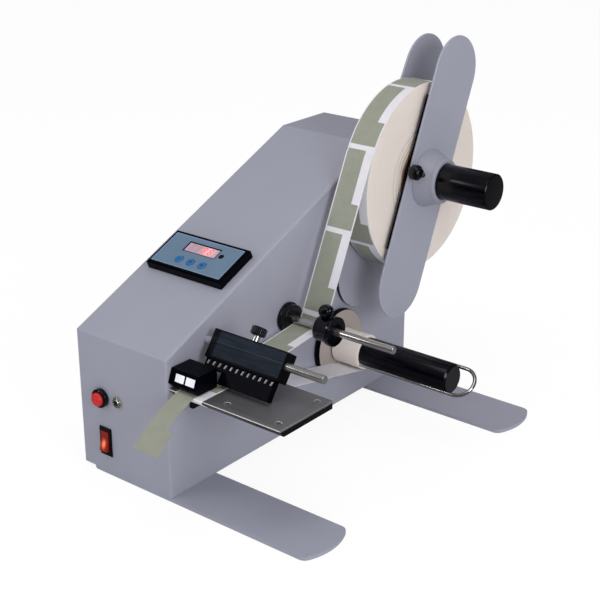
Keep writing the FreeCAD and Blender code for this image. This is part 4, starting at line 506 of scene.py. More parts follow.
def refined(node, material, edge=None, edge_material=None, angle=32):
    """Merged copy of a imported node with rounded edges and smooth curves, in its place."""
    shape = merged(node)
    bmesh.ops.dissolve_limit(shape, angle_limit=math.radians(0.2), verts=shape.verts[:],
                             edges=shape.edges[:])
    data = bpy.data.meshes.new(node)
    shape.to_mesh(data)
    shape.free()
    smooth(data, angle)
    piece = new_piece(node + "_skin", data, material)
    width = sizes().edge if edge is None else edge * MM
    if width:
        rounding = piece.modifiers.new("edges", "BEVEL")
        rounding.width = width
        rounding.segments = 2
        rounding.limit_method = "ANGLE"
        rounding.angle_limit = math.radians(40)
        rounding.harden_normals = True
        if edge_material:
            data.materials.append(edge_material)
            rounding.material = 1
        baked(piece)
    return settle(piece, BODY_OF[node], node)


def paint_faces(piece, material, chosen):
    """Gives a further material to the faces that a test picks."""
    piece.data.materials.append(material)
    for polygon in piece.data.polygons:
        if chosen(polygon):
            polygon.material_index = len(piece.data.materials) - 1


def off_axis(point, centre):
    """Distance of a point from an axis along X."""
    return math.hypot(point.y - centre.y, point.z - centre.z)


def in_mm(rows):
    return [(first * MM, second * MM) for first, second in rows]


def eased(rows, radius, steps=3, closed=False):
    """Profile whose corners are rounded, apart from the ends of an open one."""
    radius = radius * MM
    points = [Vector(row) for row in (rows + rows[:1] if closed else rows)]
    result = [points[0]]
    for before, corner, after in zip(points, points[1:], points[2:]):
        back, ahead = before - corner, after - corner
        reach = min(radius, back.length * 0.45, ahead.length * 0.45)
        start = corner + back.normalized() * reach
        end = corner + ahead.normalized() * reach
        for step in range(steps + 1):
            share = step / steps
            low, high = start.lerp(corner, share), corner.lerp(end, share)
            result.append(low.lerp(high, share))
    result.append(points[-1])
    result = [tuple(point) for point in result]
    return result[1:-1] if closed else result


def sides(shape, rings, closed=False):
    """Faces between rings of corners. A ring of one corner is a tip."""
    for low, high in list(zip(rings, rings[1:])) + [(rings[-1], rings[0])] * closed:
        turns = max(len(low), len(high))
        for step in range(turns if turns > 1 else 0):
            after = (step + 1) % turns
            if len(low) == 1:
                corners = (low[0], high[after], high[step])
            elif len(high) == 1:
                corners = (low[step], low[after], high[0])
            else:
                corners = (low[step], low[after], high[after], high[step])
            shape.faces.new(corners)


def lathe(name, rows, at, way, material, closed=False, turns=96, flutes=0, depth=0.0,
          fluted=None):
    """Turned shape from rows of place along the axis and radius. Some rows may be fluted."""
    way = Vector(way).normalized()
    turn = X_WAY.rotation_difference(way).to_matrix()
    across, up = turn @ Y_WAY, turn @ Z_WAY
    shape = bmesh.new()
    rings = []
    for along, radius in rows:
        middle = Vector(at) + way * along
        if radius < 1e-7:
            rings.append([shape.verts.new(middle)])
            continue
        waved = bool(fluted and fluted[0] <= along <= fluted[1])
        ring = []
        for step in range(turns):
            angle = 2 * math.pi * step / turns
            dip = 0.5 - 0.5 * math.cos(angle * flutes)
            reach = radius - (depth * dip ** 3 if waved else 0)
            ring.append(shape.verts.new(middle + across * math.cos(angle) * reach
                                        + up * math.sin(angle) * reach))
        rings.append(ring)
    sides(shape, rings, closed)
    data = to_mesh(shape, name)
    smooth(data)
    return new_piece(name, data, material)


def slabs(name, outlines, low, high, place, material):
    """Flat shapes with upright sides, drawn in a plane that a matrix places."""
    shape = bmesh.new()
    for outline in outlines:
        base, top = [[shape.verts.new(place @ Vector((u, v, level))) for u, v in outline]
                     for level in (low, high)]
        shape.faces.new(base[::-1])
        shape.faces.new(top)
        sides(shape, [base, top])
    return new_piece(name, to_mesh(shape, name), material)


def box_outline(left, right, low, high):
    return [(left, low), (right, low), (right, high), (left, high)]


def frame_outlines(left, right, low, high, line):
    """Four bars round a rectangle."""
    return [box_outline(left, right, low, low + line),
            box_outline(left, right, high - line, high),
            box_outline(left, left + line, low + line, high - line),
            box_outline(right - line, right, low + line, high - line)]


def disc_outline(u, v, radius, steps=32):
    return [(u + radius * math.cos(2 * math.pi * step / steps),
             v + radius * math.sin(2 * math.pi * step / steps)) for step in range(steps)]


def join(pieces, name):
    """Joins meshes that share one body."""
    shape = bmesh.new()
    materials = []
    for piece in pieces:
        start = len(shape.faces)
        shape.from_mesh(piece.data)
        shape.faces.ensure_lookup_table()
        for face in shape.faces[start:]:
            material = piece.data.materials[face.material_index]
            if material not in materials:
                materials.append(material)
            face.material_index = materials.index(material)
    data = bpy.data.meshes.new(name)
    shape.to_mesh(data)
    shape.free()
    for material in materials:
        data.materials.append(material)
    smooth(data)
    for piece in pieces:
        bpy.data.objects.remove(piece)
    return new_piece(name, data)


def geometry_tree(name, build, **sockets):
    """Geometry tree with a mesh, a material and other named inputs, made on its first use."""
    tree = bpy.data.node_groups.get(name)
    if tree:
        return tree
    tree = bpy.data.node_groups.new(name, "GeometryNodeTree")
    for label, kind in {"Geometry": "Geometry", **sockets, "Material": "Material"}.items():
        tree.interface.new_socket(label, in_out="INPUT", socket_type="NodeSocket" + kind)
    tree.interface.new_socket("Geometry", in_out="OUTPUT", socket_type="NodeSocketGeometry")
    given = add(tree, "NodeGroupInput").outputs
    end = add(tree, "NodeGroupOutput").inputs[0]
    painted = add(tree, "GeometryNodeSetMaterial",
                  {"Geometry": build(tree, given), "Material": given["Material"]})
    tree.links.new(painted.outputs[0], end)
    return tree


def on_points(tree, points, template, **inputs):
    """Real copies of a template on points."""
    copies = add(tree, "GeometryNodeInstanceOnPoints",
                 {"Points": points, "Instance": template, **inputs})
    return add(tree, "GeometryNodeRealizeInstances", {0: copies.outputs[0]}).outputs[0]


def in_steps(tree, given):
    """Copies of the mesh, each shifted and turned by one more step about a centre."""
    centred = add(tree, "GeometryNodeTransform",
                  {"Geometry": given["Geometry"],
                   "Translation": vector(tree, "SCALE", given["Centre"], Scale=-1.0)})
    index = add(tree, "GeometryNodeInputIndex").outputs[0]
    moved = vector(tree, "SCALE", given["Shift"], Scale=index)
    points = add(tree, "GeometryNodePoints",
                 {"Count": given["Count"],
                  "Position": vector(tree, "ADD", given["Centre"], moved)})
    turn = add(tree, "FunctionNodeAxisAngleToRotation",
               {"Axis": given["Axis"], "Angle": maths(tree, "MULTIPLY", index, given["Turn"])})
    return on_points(tree, points.outputs[0], centred.outputs[0], Rotation=turn.outputs[0])


def on_vertices(tree, given):
    """A template at every vertex of the mesh."""
    template = add(tree, "GeometryNodeObjectInfo", {"Object": given["Template"]})
    return on_points(tree, given["Geometry"], template.outputs["Geometry"])


def round_wire(tree, given):
    """Round wire along the edges of the mesh."""
    path = add(tree, "GeometryNodeMeshToCurve", {0: given["Geometry"]})
    section = add(tree, "GeometryNodeCurvePrimitiveCircle", {"Resolution": given["Sides"],
                                                             "Radius": given["Radius"]})
    tube = add(tree, "GeometryNodeCurveToMesh", {"Curve": path.outputs[0],
                                                 "Profile Curve": section.outputs[0],
                                                 "Fill Caps": True})
    return add(tree, "GeometryNodeSetShadeSmooth", {"Geometry": tube.outputs[0]}).outputs[0]


def run_tree(piece, tree, **values):
    """Runs a geometry tree on a piece with values for its named inputs."""
    modifier = piece.modifiers.new("nodes", "NODES")
    modifier.node_group = tree
    for item in tree.interface.items_tree:
        if item.in_out == "INPUT" and item.name in values:
            modifier[item.identifier] = values[item.name]
    return baked(piece)


def repeated(piece, count, centre=(0, 0, 0), shift=(0, 0, 0), axis=(1, 0, 0), turn=0.0):
    tree = geometry_tree("repeat in steps", in_steps, Count="Int", Centre="Vector",
                         Shift="Vector", Axis="Vector", Turn="Float")
    return run_tree(piece, tree, Count=count, Centre=tuple(centre), Shift=tuple(shift),
                    Axis=tuple(axis), Turn=turn, Material=piece.data.materials[0])


def islands(node):
    """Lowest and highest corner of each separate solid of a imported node."""
    shape = merged(node)
    seen, found = set(), []
    for start in shape.verts:
        if start in seen:
            continue
        stack, group = [start], []
        seen.add(start)
        while stack:
            here = stack.pop()
            group.append(here.co.copy())
            for edge in here.link_edges:
                other = edge.other_vert(here)
                if other not in seen:
                    seen.add(other)
                    stack.append(other)
        found.append([Vector([pick(point[axis] for point in group) for axis in range(3)])
                      for pick in (min, max)])
    shape.free()
    return found


# Stage

class DISPENSER_OT_stage(bpy.types.Operator):
    """Camera, lamps, pale floor and background"""
    bl_idname = "dispenser.stage"
    bl_label = "Stage"

    def lamp(self, name, place, aim, width, power):
        data = bpy.data.lights.new(name, "AREA")
        data.shape = "DISK"
        data.size = width
        data.energy = power * bpy.context.scene.dispenser_stage.lamps
        item = bpy.data.objects.new(name, data)
        item.location = place
        item.rotation_euler = (Vector(aim) - Vector(place)).to_track_quat("-Z", "Y").to_euler()
        bpy.context.scene.collection.objects.link(item)

    def execute(self, context):
        scene = context.scene
        stage = scene.dispenser_stage
        scene.view_settings.view_transform = "Standard"
        target = Vector((0, 0.16998, 0.15171))
        level = math.cos(stage.elevation)
        way = Vector((math.sin(stage.azimuth) * level, -math.cos(stage.azimuth) * level,
                      math.sin(stage.elevation)))
        camera = bpy.data.objects.new("camera", bpy.data.cameras.new("camera"))
        camera.data.lens = stage.lens
        camera.data.sensor_width = 36
        camera.location = target + way * stage.distance
        camera.rotation_euler = (-way).to_track_quat("-Z", "Y").to_euler()
        scene.collection.objects.link(camera)
        scene.camera = camera

        self.lamp("left_softbox", (-1.3, -1.5, 1.5), (0, 0.15, 0.1), 0.52, 5.1)
        self.lamp("top_softbox", (0.2, -0.45, 2.15), (0, 0.05, 0.1), 1.4, 8.2)
        self.lamp("right_softbox", (2.0, -0.6, 0.9), (0, 0.17, 0.15), 1.0, 15.5)

        self.surround(scene, stage.fill)
        shape = bmesh.new()
        bmesh.ops.create_grid(shape, x_segments=8, y_segments=8, size=4.0)
        new_piece("floor", to_mesh(shape, "floor"), self.floor_material())
        return {"FINISHED"}

    def seen(self, tree):
        """Kinds of ray, and the rays that reach the eye."""
        rays = add(tree, "ShaderNodeLightPath").outputs
        return rays, maths(tree, "MAXIMUM", rays["Is Camera Ray"], rays["Is Transmission Ray"])

    def surround(self, scene, level):
        scene.world = bpy.data.worlds.new("surroundings")
        tree = empty_tree(scene.world)
        rays, seen = self.seen(tree)
        # Mirrors see a dim room that grows light overhead, so that black stays black
        way = add(tree, "ShaderNodeSeparateXYZ",
                  {0: add(tree, "ShaderNodeTexCoord").outputs["Generated"]}).outputs["Z"]
        fill, mirror, white = [
            add(tree, "ShaderNodeBackground", {"Color": colour, "Strength": strength}).outputs[0]
            for colour, strength in ((WHITE, level),
                                     (linear("E9EAF0"), ramp(tree, way, 0.1, 0.9, 0.02, 0.3)),
                                     (WHITE, 1.0))]
        lower = shader_mix(tree, rays["Is Glossy Ray"], fill, mirror)
        add(tree, "ShaderNodeOutputWorld", {"Surface": shader_mix(tree, seen, lower, white)})

    def floor_material(self):
        # Matt white sweep: white to the eye, with a faint shadow under the machine
        material = bpy.data.materials.new("matt_white_sweep")
        tree = empty_tree(material)
        rays, seen = self.seen(tree)
        share = maths(tree, "MULTIPLY", maths(tree, "MAXIMUM", seen, rays["Is Glossy Ray"]), 0.86)
        matt = add(tree, "ShaderNodeBsdfDiffuse", {"Color": linear("F4F4F5")}).outputs[0]
        glow = add(tree, "ShaderNodeEmission",
                   {"Color": WHITE, "Strength": ramp(tree, seen, 0, 1, 0.06, 1.04)}).outputs[0]
        add(tree, "ShaderNodeOutputMaterial", {"Surface": shader_mix(tree, share, matt, glow)})
        return material


# Housing

class DISPENSER_OT_housing(bpy.types.Operator):
    """Folded housing, its cover, rear panel, base plate and the two feet"""
    bl_idname = "dispenser.housing"
    bl_label = "Housing and feet"

    def execute(self, context):
        paint = powder_coat()
        for node in ("housing_shell", "left_cover", "rear_panel", "base_plate"):
            refined(node, paint, edge=0.3)
        for node in ("front_foot", "rear_foot"):
            refined(node, paint, edge=0.6)
        return {"FINISHED"}


class DISPENSER_OT_screws(bpy.types.Operator):
    """Cross recess screws of the housing, the feet and the peel plate"""
    bl_idname = "dispenser.screws"
    bl_label = "Screws"

    def template(self, rows, recess, depth):
        """Screw on the Z axis, its head upwards, with a cross recess."""
        screw = lathe("screw", eased(in_mm(rows), 0.35, 2), (0, 0, 0), Z_WAY, zinc_plate(),
                      turns=32)
        top = max(row[0] for row in rows) * MM
        arm, half = recess * MM, recess * 0.17 * MM
        bars = [box_outline(-arm, arm, -half, half), box_outline(-half, half, -arm, arm)]
        for outline in bars:
            cutter = slabs("cutter", [outline], top - depth * MM, top + 1 * MM,
                           Matrix.Identity(4), zinc_plate())
            cut = screw.modifiers.new("recess", "BOOLEAN")
            cut.operation = "DIFFERENCE"
            cut.solver = "EXACT"
            cut.object = cutter
            baked(screw)
            bpy.data.objects.remove(cutter)
        return screw

    def scatter(self, name, template, way, places, node, replaced=True):
        data = template.data.copy()
        data.transform(Z_WAY.rotation_difference(way).to_matrix().to_4x4())
        turned = new_piece("turned_screw", data)
        points = bpy.data.meshes.new(name)
        points.from_pydata([tuple(place) for place in places], [], [])
        piece = new_piece(name, points)
        run_tree(piece, geometry_tree("template on points", on_vertices, Template="Object"),
                 Template=turned, Material=zinc_plate())
        smooth(piece.data)
        bpy.data.objects.remove(turned)
        settle(piece, BODY_OF[node], *([node] if replaced else []), slot=SLOT_OF[node])

    def execute(self, context):
        button = self.template([(-5, 0), (-5, 2), (0, 2), (0, 3.6), (1.2, 3.55), (1.9, 2.6),
                                (2.2, 1.2), (2.2, 0)], 1.9, 1.2)
        flat = self.template([(-7, 0), (-7, 1.5), (-1.6, 1.5), (-0.02, 3.0), (-0.02, 0)],
                             1.7, 1.0)
        side, rear = [], []
        for low, high in islands("cover_screws"):
            middle = (low + high) / 2
            if low.x < CAD_BOX[0][0] + 1 * MM:
                side.append(Vector((low.x + SCREW_HEAD, middle.y, middle.z)))
            else:
                rear.append(Vector((middle.x, high.y - SCREW_HEAD, middle.z)))
        feet, plate = [[Vector(((low.x + high.x) / 2, (low.y + high.y) / 2, high.z - sunk))
                        for low, high in islands(node)]
                       for node, sunk in (("foot_screws", SCREW_HEAD), ("plate_screws", 0))]
        self.scatter("side_screws", button, -X_WAY, side, "cover_screws")
        self.scatter("rear_screws", button, Y_WAY, rear, "cover_screws", replaced=False)
        self.scatter("foot_screws_skin", button, Z_WAY, feet, "foot_screws")
        self.scatter("plate_screws_skin", flat, Z_WAY, plate, "plate_screws")
        for template in (button, flat):
            bpy.data.objects.remove(template)
        return {"FINISHED"}


# Peel plate and sensor

class DISPENSER_OT_plate(bpy.types.Operator):
    """Peel plate with bright edges on its black support"""
    bl_idname = "dispenser.plate"
    bl_label = "Peel plate"

    def execute(self, context):
        plate = refined("peel_plate", ground_plate(), edge=0.5, edge_material=bright_edge())
        plate.data.materials.append(black_anodised())
        for polygon in plate.data.polygons:
            # The nose: a bright rounding over a dark under side
            if polygon.normal.y < -0.1:
                polygon.material_index = 1 if polygon.normal.z > 0.25 else 2
        refined("plate_support", black_anodised(), edge=0.5)
        return {"FINISHED"}


class DISPENSER_OT_sensor(bpy.types.Operator):
    """Sensor head with two white windows that carry a painted glow"""
    bl_idname = "dispenser.sensor"
    bl_label = "Sensor head"

    def execute(self, context):
        refined("sensor_head", black_moulded(), edge=0.7)
        # Opal lens: white, with a little painted glow so that it stays the brightest spot of the head
        painted_glow_lens = lit("opal_lens_painted_glow", linear("F4F4F8"), linear("E8E8EE"),
                   sum(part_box("sensor_windows"), Vector()) / 2, 30, 0.25)
        refined("sensor_windows", painted_glow_lens, edge=0.2)
        return {"FINISHED"}


# Press unit

def lean_place():
    """Plane of the press channel's cross-section: local x to the right, z up the lean."""
    lean = math.acos(max(min(joint_way("press_knob_turn").z, 1), -1))
    return Matrix.Translation((0, PRESS.y, PRESS.z)) @ Matrix.Rotation(-lean, 4, "X")


class DISPENSER_OT_press(bpy.types.Operator):
    """Press rod, channel, comb and the ridged clamp knob"""
    bl_idname = "dispenser.press"
    bl_label = "Press unit"

    def execute(self, context):
        place = lean_place()
        low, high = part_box("press_rod")
        end = high.x
        radius = (high.z - low.z) / 2
        # Painted up to the channel, bare beyond it
        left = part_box("press_channel")[0].x
        rows = eased([(low.x, 0), (low.x, radius), (end, radius), (end, 0)], 0.7)
        rows.insert(len(rows) // 2, (left, radius))
        rod = lathe("press_rod_skin", rows, (0, PRESS.y, PRESS.z), X_WAY, polished_rod())
        paint_faces(rod, powder_coat(), lambda face: face.center.x < left)
        settle(rod, "frame", "press_rod")

        refined("press_channel", slate_anodised(), edge=0.4)
        refined("press_comb", black_moulded(), edge=0.3)
        # A bent spring tongue looks out of every slot under the channel's lip
        tongue = slabs("comb_tongues", [in_mm([(14.7, -22.0), (16.4, -22.0), (18.0, -18.0),
                                               (15.6, -18.0)])], 3.2 * MM, 5.6 * MM,
                       place @ Matrix.Rotation(math.radians(90), 4, "X"), spring_tongue())
        tongue = repeated(tongue, 12, shift=(COMB_PITCH, 0, 0))
        settle(tongue, "press_unit", slot=SLOT_OF["press_rod"])

        knob, stud = joint_place("press_knob_turn"), joint_way("press_knob_turn")
        count, depth = sizes().ridge_count, sizes().ridge_depth
        core = 7.8 * MM - depth
        post = lathe("press_stud", eased(in_mm([(4.6, 0), (4.6, 3.8), (19.2, 3.8),
                                                (19.2, 0)]), 0.3), knob, stud,
                     polished_rod(), turns=48)
        body = lathe("press_knob_core", eased([(19 * MM, 0), (19 * MM, core), (27.5 * MM, core),
                                               (27.5 * MM, 0)], 1.0), knob, stud,
                     black_moulded(), turns=72)
        turn = X_WAY.rotation_difference(stud).to_matrix().to_4x4()
        lie = Matrix.Translation(knob) @ turn @ Matrix.Rotation(math.radians(90), 4, "Y")
        half = core * math.pi / count * 0.55
        root, tip = core - 0.4 * MM, core + depth
        # Ridges in a lighter grey than the knob's core: painted highlight on the ridge tops
        ridge = slabs("press_knob_ridges", [[(root, -half), (tip, -half * 0.4),
                                             (tip, half * 0.4), (root, half)]],
                      19.7 * MM, 26.8 * MM, lie,
                      soft_plastic("ridge_tops_painted_highlight", linear("2E2E35"), 0.4))
        repeated(ridge, count, centre=knob, axis=stud, turn=2 * math.pi / count)
        settle(join([body, ridge], "press_knob_skin"), "press_clamp", "press_knob")
        settle(post, "press_clamp", slot=SLOT_OF["press_rod"])
        return {"FINISHED"}


# Guide rod

def ball_knob(name, at, way, knob, radius, neck, body, node):
    """Stud, neck and a slightly fluted ball knob about an axis."""
    rows = [(4.4 * MM, 0), (4.4 * MM, 3 * MM), (neck, 3 * MM), (neck, 4.6 * MM),
            (knob - radius * 0.7, 4.7 * MM)]
    for step in range(15):
        angle = math.radians(-52 + step * (52 + 78) / 14)
        rows.append((knob + radius * 0.86 * math.sin(angle),
                     radius * math.cos(angle) ** 0.72))
    rows.append((knob + radius * 0.86, 0))
    piece = lathe(name, rows, at, way, black_glossy(), turns=96, flutes=8,
                  depth=0.55 * MM, fluted=(knob - radius * 0.55, knob + radius * 0.7))
    return settle(piece, body, node)


class DISPENSER_OT_guide(bpy.types.Operator):
    """Guide rod with its fixed disc and the sliding collar"""
    bl_idname = "dispenser.guide"
    bl_label = "Guide rod"

    def turned(self, name, rows, radius, material, body, closed=True):
        piece = lathe(name, eased(rows, radius, closed=closed), (0, GUIDE.y, GUIDE.z), X_WAY,
                      material, closed=closed)
        settle(piece, body, name.removesuffix("_skin"))

    def execute(self, context):
        start, end = ROD_LOW.x, ROD_HIGH.x
        self.turned("guide_rod_skin", [(start, 0), (start, 0.004), (end, 0.004), (end, 0)], 0.8,
                    polished_rod(), "frame", closed=False)
        disc = [(0, 4.05), (9.7, 4.05), (9.7, 14.8), (3.2, 14.8), (3.2, 16.6), (0, 16.6)]
        self.turned("guide_flange_skin", in_mm(disc), 0.7, black_glossy(), "frame")
        low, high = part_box("guide_collar")
        near, far = low.x, high.x
        step = far - 5.9 * MM
        collar = [(near, 4.1 * MM), (far, 4.1 * MM), (far, 15.8 * MM), (step, 15.8 * MM),
                  (step, 13.6 * MM), (near, 13.6 * MM)]
        self.turned("guide_collar_skin", collar, 0.8, black_glossy(), "collar")
        ball_knob("collar_knob_skin", joint_place("collar_knob_turn"),
                  joint_way("collar_knob_turn"), 19.8 * MM, 7.9 * MM, 14.2 * MM,
                  "collar_clamp", "collar_knob")
        return {"FINISHED"}


# Paper

class DISPENSER_OT_paper(bpy.types.Operator):
    """Backing web, the labels on it and the label that peels off"""
    bl_idname = "dispenser.paper"
    bl_label = "Web and labels"

    def execute(self, context):
        for node in ("web_drop", "web_feed", "web_return"):
            refined(node, backing_paper(), edge=0, angle=60)
        refined("web_labels", label_stock(), edge=0, angle=60)
        refined("dispensed_label", peeled_stock(), edge=0, angle=60)
        return {"FINISHED"}


class DISPENSER_OT_roll(bpy.types.Operator):
    """Wound label roll with its labels, core and adapter"""
    bl_idname = "dispenser.roll"
    bl_label = "Label roll"

    def strip(self, start, end, left, right, radius, gauge):
        """Curved strip of label between two angles about the reel's axis."""
        count = max(2, round(abs(end - start) / math.radians(2.5)))
        shape = bmesh.new()
        rows = []
        for step in range(count + 1):
            angle = start + (end - start) * step / count
            rows.append([shape.verts.new((x, REEL.y + reach * math.cos(angle),
                                          REEL.z + reach * math.sin(angle)))
                         for x, reach in box_outline(left, right, radius, radius + gauge)])
        sides(shape, rows)
        shape.faces.new(rows[0][::-1])
        shape.faces.new(rows[-1])
        return new_piece("strip", to_mesh(shape, "strip"), label_stock())

    def execute(self, context):
        low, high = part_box("label_roll")
        left, right = low.x, high.x
        gauge = sizes().label_gauge
        outer = (high.z - low.z) / 2 - gauge
        # Loose first turns leave grooves by the core, and further out the side face rises
        # and falls by a few tenths where the layers were wound unevenly
        loose = [(0.0, 0.4), (3.2, 0.3), (3.4, 2.2), (4.3, 2.2), (4.6, 0.2), (8.4, 0.3),
                 (8.6, 1.8), (9.2, 1.8), (9.5, 0.0), (13.6, 0.25), (13.8, 1.2), (14.2, 1.2),
                 (14.5, 0.1)]
        even = (0.0, 0.12, 0.05, 0.2, 0.1, 0.0, 0.08, 0.16, 0.04, 0.1, 0.0, 0.06, 0.12, 0.03,
                0.08, 0.0, 0.05, 0.1, 0.02, 0.0)
        start = CORE_RADIUS + 15 * MM
        rows = [(CORE_RADIUS + reach * MM, offset) for reach, offset in loose]
        rows += [(start + (outer - start) * step / (len(even) - 1), offset)
                 for step, offset in enumerate(even)]
        near = [(right - offset * MM, reach) for reach, offset in rows]
        far = [(left + offset * 0.6 * MM, reach) for reach, offset in rows]
        paper = wound_edge("wound_label_edges", colours().wound, REEL, 1.3, 0.34)
        roll = lathe("label_roll_skin", near + far[::-1], (0, REEL.y, REEL.z), X_WAY, paper,
                     closed=True, turns=160)
        paint_faces(roll, backing_paper(),
                    lambda face: off_axis(face.center, REEL) > outer - 0.3 * MM
                    and abs(face.normal.x) < 0.5)
        settle(roll, "reel", "label_roll")

        border, notch = sizes().label_border, sizes().notch_width
        leave = math.radians(154.93)
        reach = outer + gauge
        spacing = sizes().label_spacing
        tail = leave - (spacing - 80.5 * MM) / reach
        step = tail - (sizes().label_length - sizes().label_notch) / reach
        head = tail - sizes().label_length / reach
        wide, slim = right - border, right - border - notch
        first = join([self.strip(step, tail, left + border, wide, outer, gauge),
                      self.strip(head, step, left + border, slim, outer, gauge)],
                     "roll_labels")
        turn = -spacing / reach
        repeated(first, 7, centre=REEL, turn=turn)
        last = self.strip(leave - 2 * math.pi, tail + 7 * turn, left + border, wide, outer,
                          gauge)
        stub = self.strip(leave - 4 * MM / reach, leave, left + border, slim, outer, gauge)
        labels = join([first, last, stub], "roll_labels")
        settle(labels, "reel", slot=SLOT_OF["web_labels"])
        refined("roll_core", core_board(), edge=0.3)
        refined("core_adapter", soft_plastic("moulded_fibre_adapter", linear("7A5C42"), 0.6),
                edge=0.6)
        return {"FINISHED"}


# Supply reel

class DISPENSER_OT_reel(bpy.types.Operator):
    """Supply shaft, the two paddles, the hub and its thumb screw"""
    bl_idname = "dispenser.reel"
    bl_label = "Supply reel"

    def painted_gap_shadow(self, node, name, degrees, low, high):
        """Black strip behind a blade's front edge, over a stretch of its length: painted shadow in the gap behind
        the blade.
        """
        angle = math.radians(degrees)
        place = Matrix.Translation(Vector((0, REEL.y, REEL.z))) @ Matrix((
            (0, 0, 1, 0), (math.cos(angle), math.sin(angle), 0, 0),
            (-math.sin(angle), math.cos(angle), 0, 0), (0, 0, 0, 1)))
        half, reach, overlap, wide = 40 * MM, 118 * MM, 1.4 * MM, 7 * MM
        outer = [(-half - overlap, high)]
        inner = [(wide - half, high)]
        if low > -reach:
            outer.append((-half - overlap, low))
            inner.append((wide - half, low))
        else:
            for step in range(17):
                turn = math.radians(step * 75 / 16)
                for rows, radius in ((outer, half + overlap), (inner, half - wide)):
                    rows.append((-radius * math.cos(turn), -reach - radius * math.sin(turn)
                                 + overlap * math.sin(turn)))
        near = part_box(node)[0].x
        piece = slabs(name, [outer + inner[::-1]], near - 1.4 * MM, near, place,
                      black_moulded())
        return settle(piece, BODY_OF[node], slot=SLOT_OF["supply_shaft"])

    def execute(self, context):
        axis = (0, REEL.y, REEL.z)
        low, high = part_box("supply_shaft")
        end, full = high.x, SHAFT_RADIUS
        rows = [(low.x, 0), (low.x, 8 * MM), (5 * MM, 8 * MM), (5 * MM, full),
                (end - 1.2 * MM, full), (end, full - 1.2 * MM), (end, 0)]
        settle(lathe("supply_shaft_skin", eased(rows, 0.4), axis, X_WAY, black_anodised(),
                     turns=128), "reel", "supply_shaft")
        # The blades' rims are painted lighter than their faces: painted highlight along the rims
        rim = surface("powder_coat_painted_rim_highlight", shade(colours().paint, 1.35), 0.4, tone=0.04,
                      tone_mm=30, grain=0.16, grain_mm=1.6, relief_mm=0.05, spread=0.05)
        for node in ("inner_paddle", "outer_paddle"):
            refined(node, powder_coat(), edge=0.55, edge_material=rim)
        self.painted_gap_shadow("outer_paddle", "outer_paddle_lining", 23.5, -86 * MM, 84 * MM)
        self.painted_gap_shadow("inner_paddle", "inner_paddle_lining", 29.0, -120 * MM, -50 * MM)
        low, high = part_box("outer_hub")
        near, far, bore = low.x, high.x, 19.8 * MM
        hub = [(near, bore), (far - 0.6 * MM, bore), (far, bore + 0.6 * MM),
               (far, 23.6 * MM), (far - 1.6 * MM, 24.8 * MM), (far - 6 * MM, 25.4 * MM),
               (near + 10 * MM, 28.2 * MM), (near + 4 * MM, 30.6 * MM),
               (near + 0.8 * MM, 32 * MM), (near, 32 * MM)]
        # Cast hub under the same powder, its colour a shade darker than the sheet's as painted shade
        shaded_paint = surface("powder_coat_painted_shade", shade(colours().paint, 0.86), 0.46, tone=0.03,
                       tone_mm=40, grain=0.2, grain_mm=1.8, relief_mm=0.06, spread=0.05)
        settle(lathe("outer_hub_skin", eased(hub, 1.6, 4, closed=True), axis, X_WAY, shaded_paint,
                     closed=True, turns=128), "outer_plate", "outer_hub")
        place, way = joint_place("hub_screw_turn"), joint_way("hub_screw_turn")
        low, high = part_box("hub_thumbscrew")
        if ((low + high) / 2 - place).dot(way) < 0:
            way = -way
        ball_knob("hub_knob_skin", place + way * SHAFT_RADIUS, way, 23 * MM,
                  sizes().knob_radius, 13.8 * MM, "hub_screw", "hub_thumbscrew")
        return {"FINISHED"}


# Rewind mandrel

class DISPENSER_OT_rewind(bpy.types.Operator):
    """Mandrel, pale disc, wound backing and the wire clip"""
    bl_idname = "dispenser.rewind"
    bl_label = "Rewind"

    def execute(self, context):
        mandrel = refined("rewind_mandrel", black_anodised(), edge=0.4)
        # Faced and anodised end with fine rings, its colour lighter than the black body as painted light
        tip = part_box("rewind_mandrel")[1].x - 1 * MM
        paint_faces(mandrel, surface("mandrel_end_painted_light", linear("242226"), 0.5, tone=0.1,
                                     grain=0.2, grain_mm=0.6, shine=0.3),
                    lambda face: face.normal.x > 0.9 and face.center.x > tip)
        disc = wound_edge("pale_fibre_disc", colours().disc, MANDREL, 2.2, 0.12)
        low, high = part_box("rewind_flange")
        reach = (high.z - low.z) / 2
        rows = [(low.x, 5 * MM), (high.x, 5 * MM), (high.x, reach), (low.x, reach)]
        plate = lathe("rewind_flange_skin", eased(rows, 0.5, closed=True),
                      (0, MANDREL.y, MANDREL.z), X_WAY, disc, closed=True, turns=128)
        paint_faces(plate, black_moulded(), lambda face: face.normal.x < 0.9
                    or off_axis(face.center, MANDREL) >= reach - 0.6 * MM)
        settle(plate, "rewind", "rewind_flange")
        refined("backing_wrap", wound_edge("wound_backing_edges", linear("F4EAE2"), MANDREL,
                                           0.9, 0.1), edge=0.3)
        self.clip()
        return {"FINISHED"}

    def clip(self):
        """Wire bent back on itself: two straight legs and a half circle."""
        low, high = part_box("mandrel_clip")
        wire = sizes().wire_radius
        side = Vector((0, (high.y - low.y) / 2 - wire, (high.z - low.z) / 2 - wire))
        reach = side.length
        straight = high.x - wire - reach
        leg = [low.x] + [straight - step * 4 * MM for step in range(6, 0, -1)]
        bend = [math.pi * step / 24 for step in range(25)]
        path = [(x, 1) for x in leg]
        path += [(straight + reach * math.sin(angle), math.cos(angle)) for angle in bend]
        path += [(x, -1) for x in reversed(leg)]
        points = [Vector((x, MANDREL.y, MANDREL.z)) + side * share for x, share in path]
        data = bpy.data.meshes.new("mandrel_clip_skin")
        data.from_pydata([tuple(point) for point in points],
                         [(index, index + 1) for index in range(len(points) - 1)], [])
        piece = new_piece("mandrel_clip_skin", data)
        run_tree(piece, geometry_tree("wire on a path", round_wire, Radius="Float",
                                      Sides="Int"),
                 Radius=wire, Sides=24, Material=bright_wire())
        smooth(piece.data)
        settle(piece, "clip", "mandrel_clip")


# Counter panel

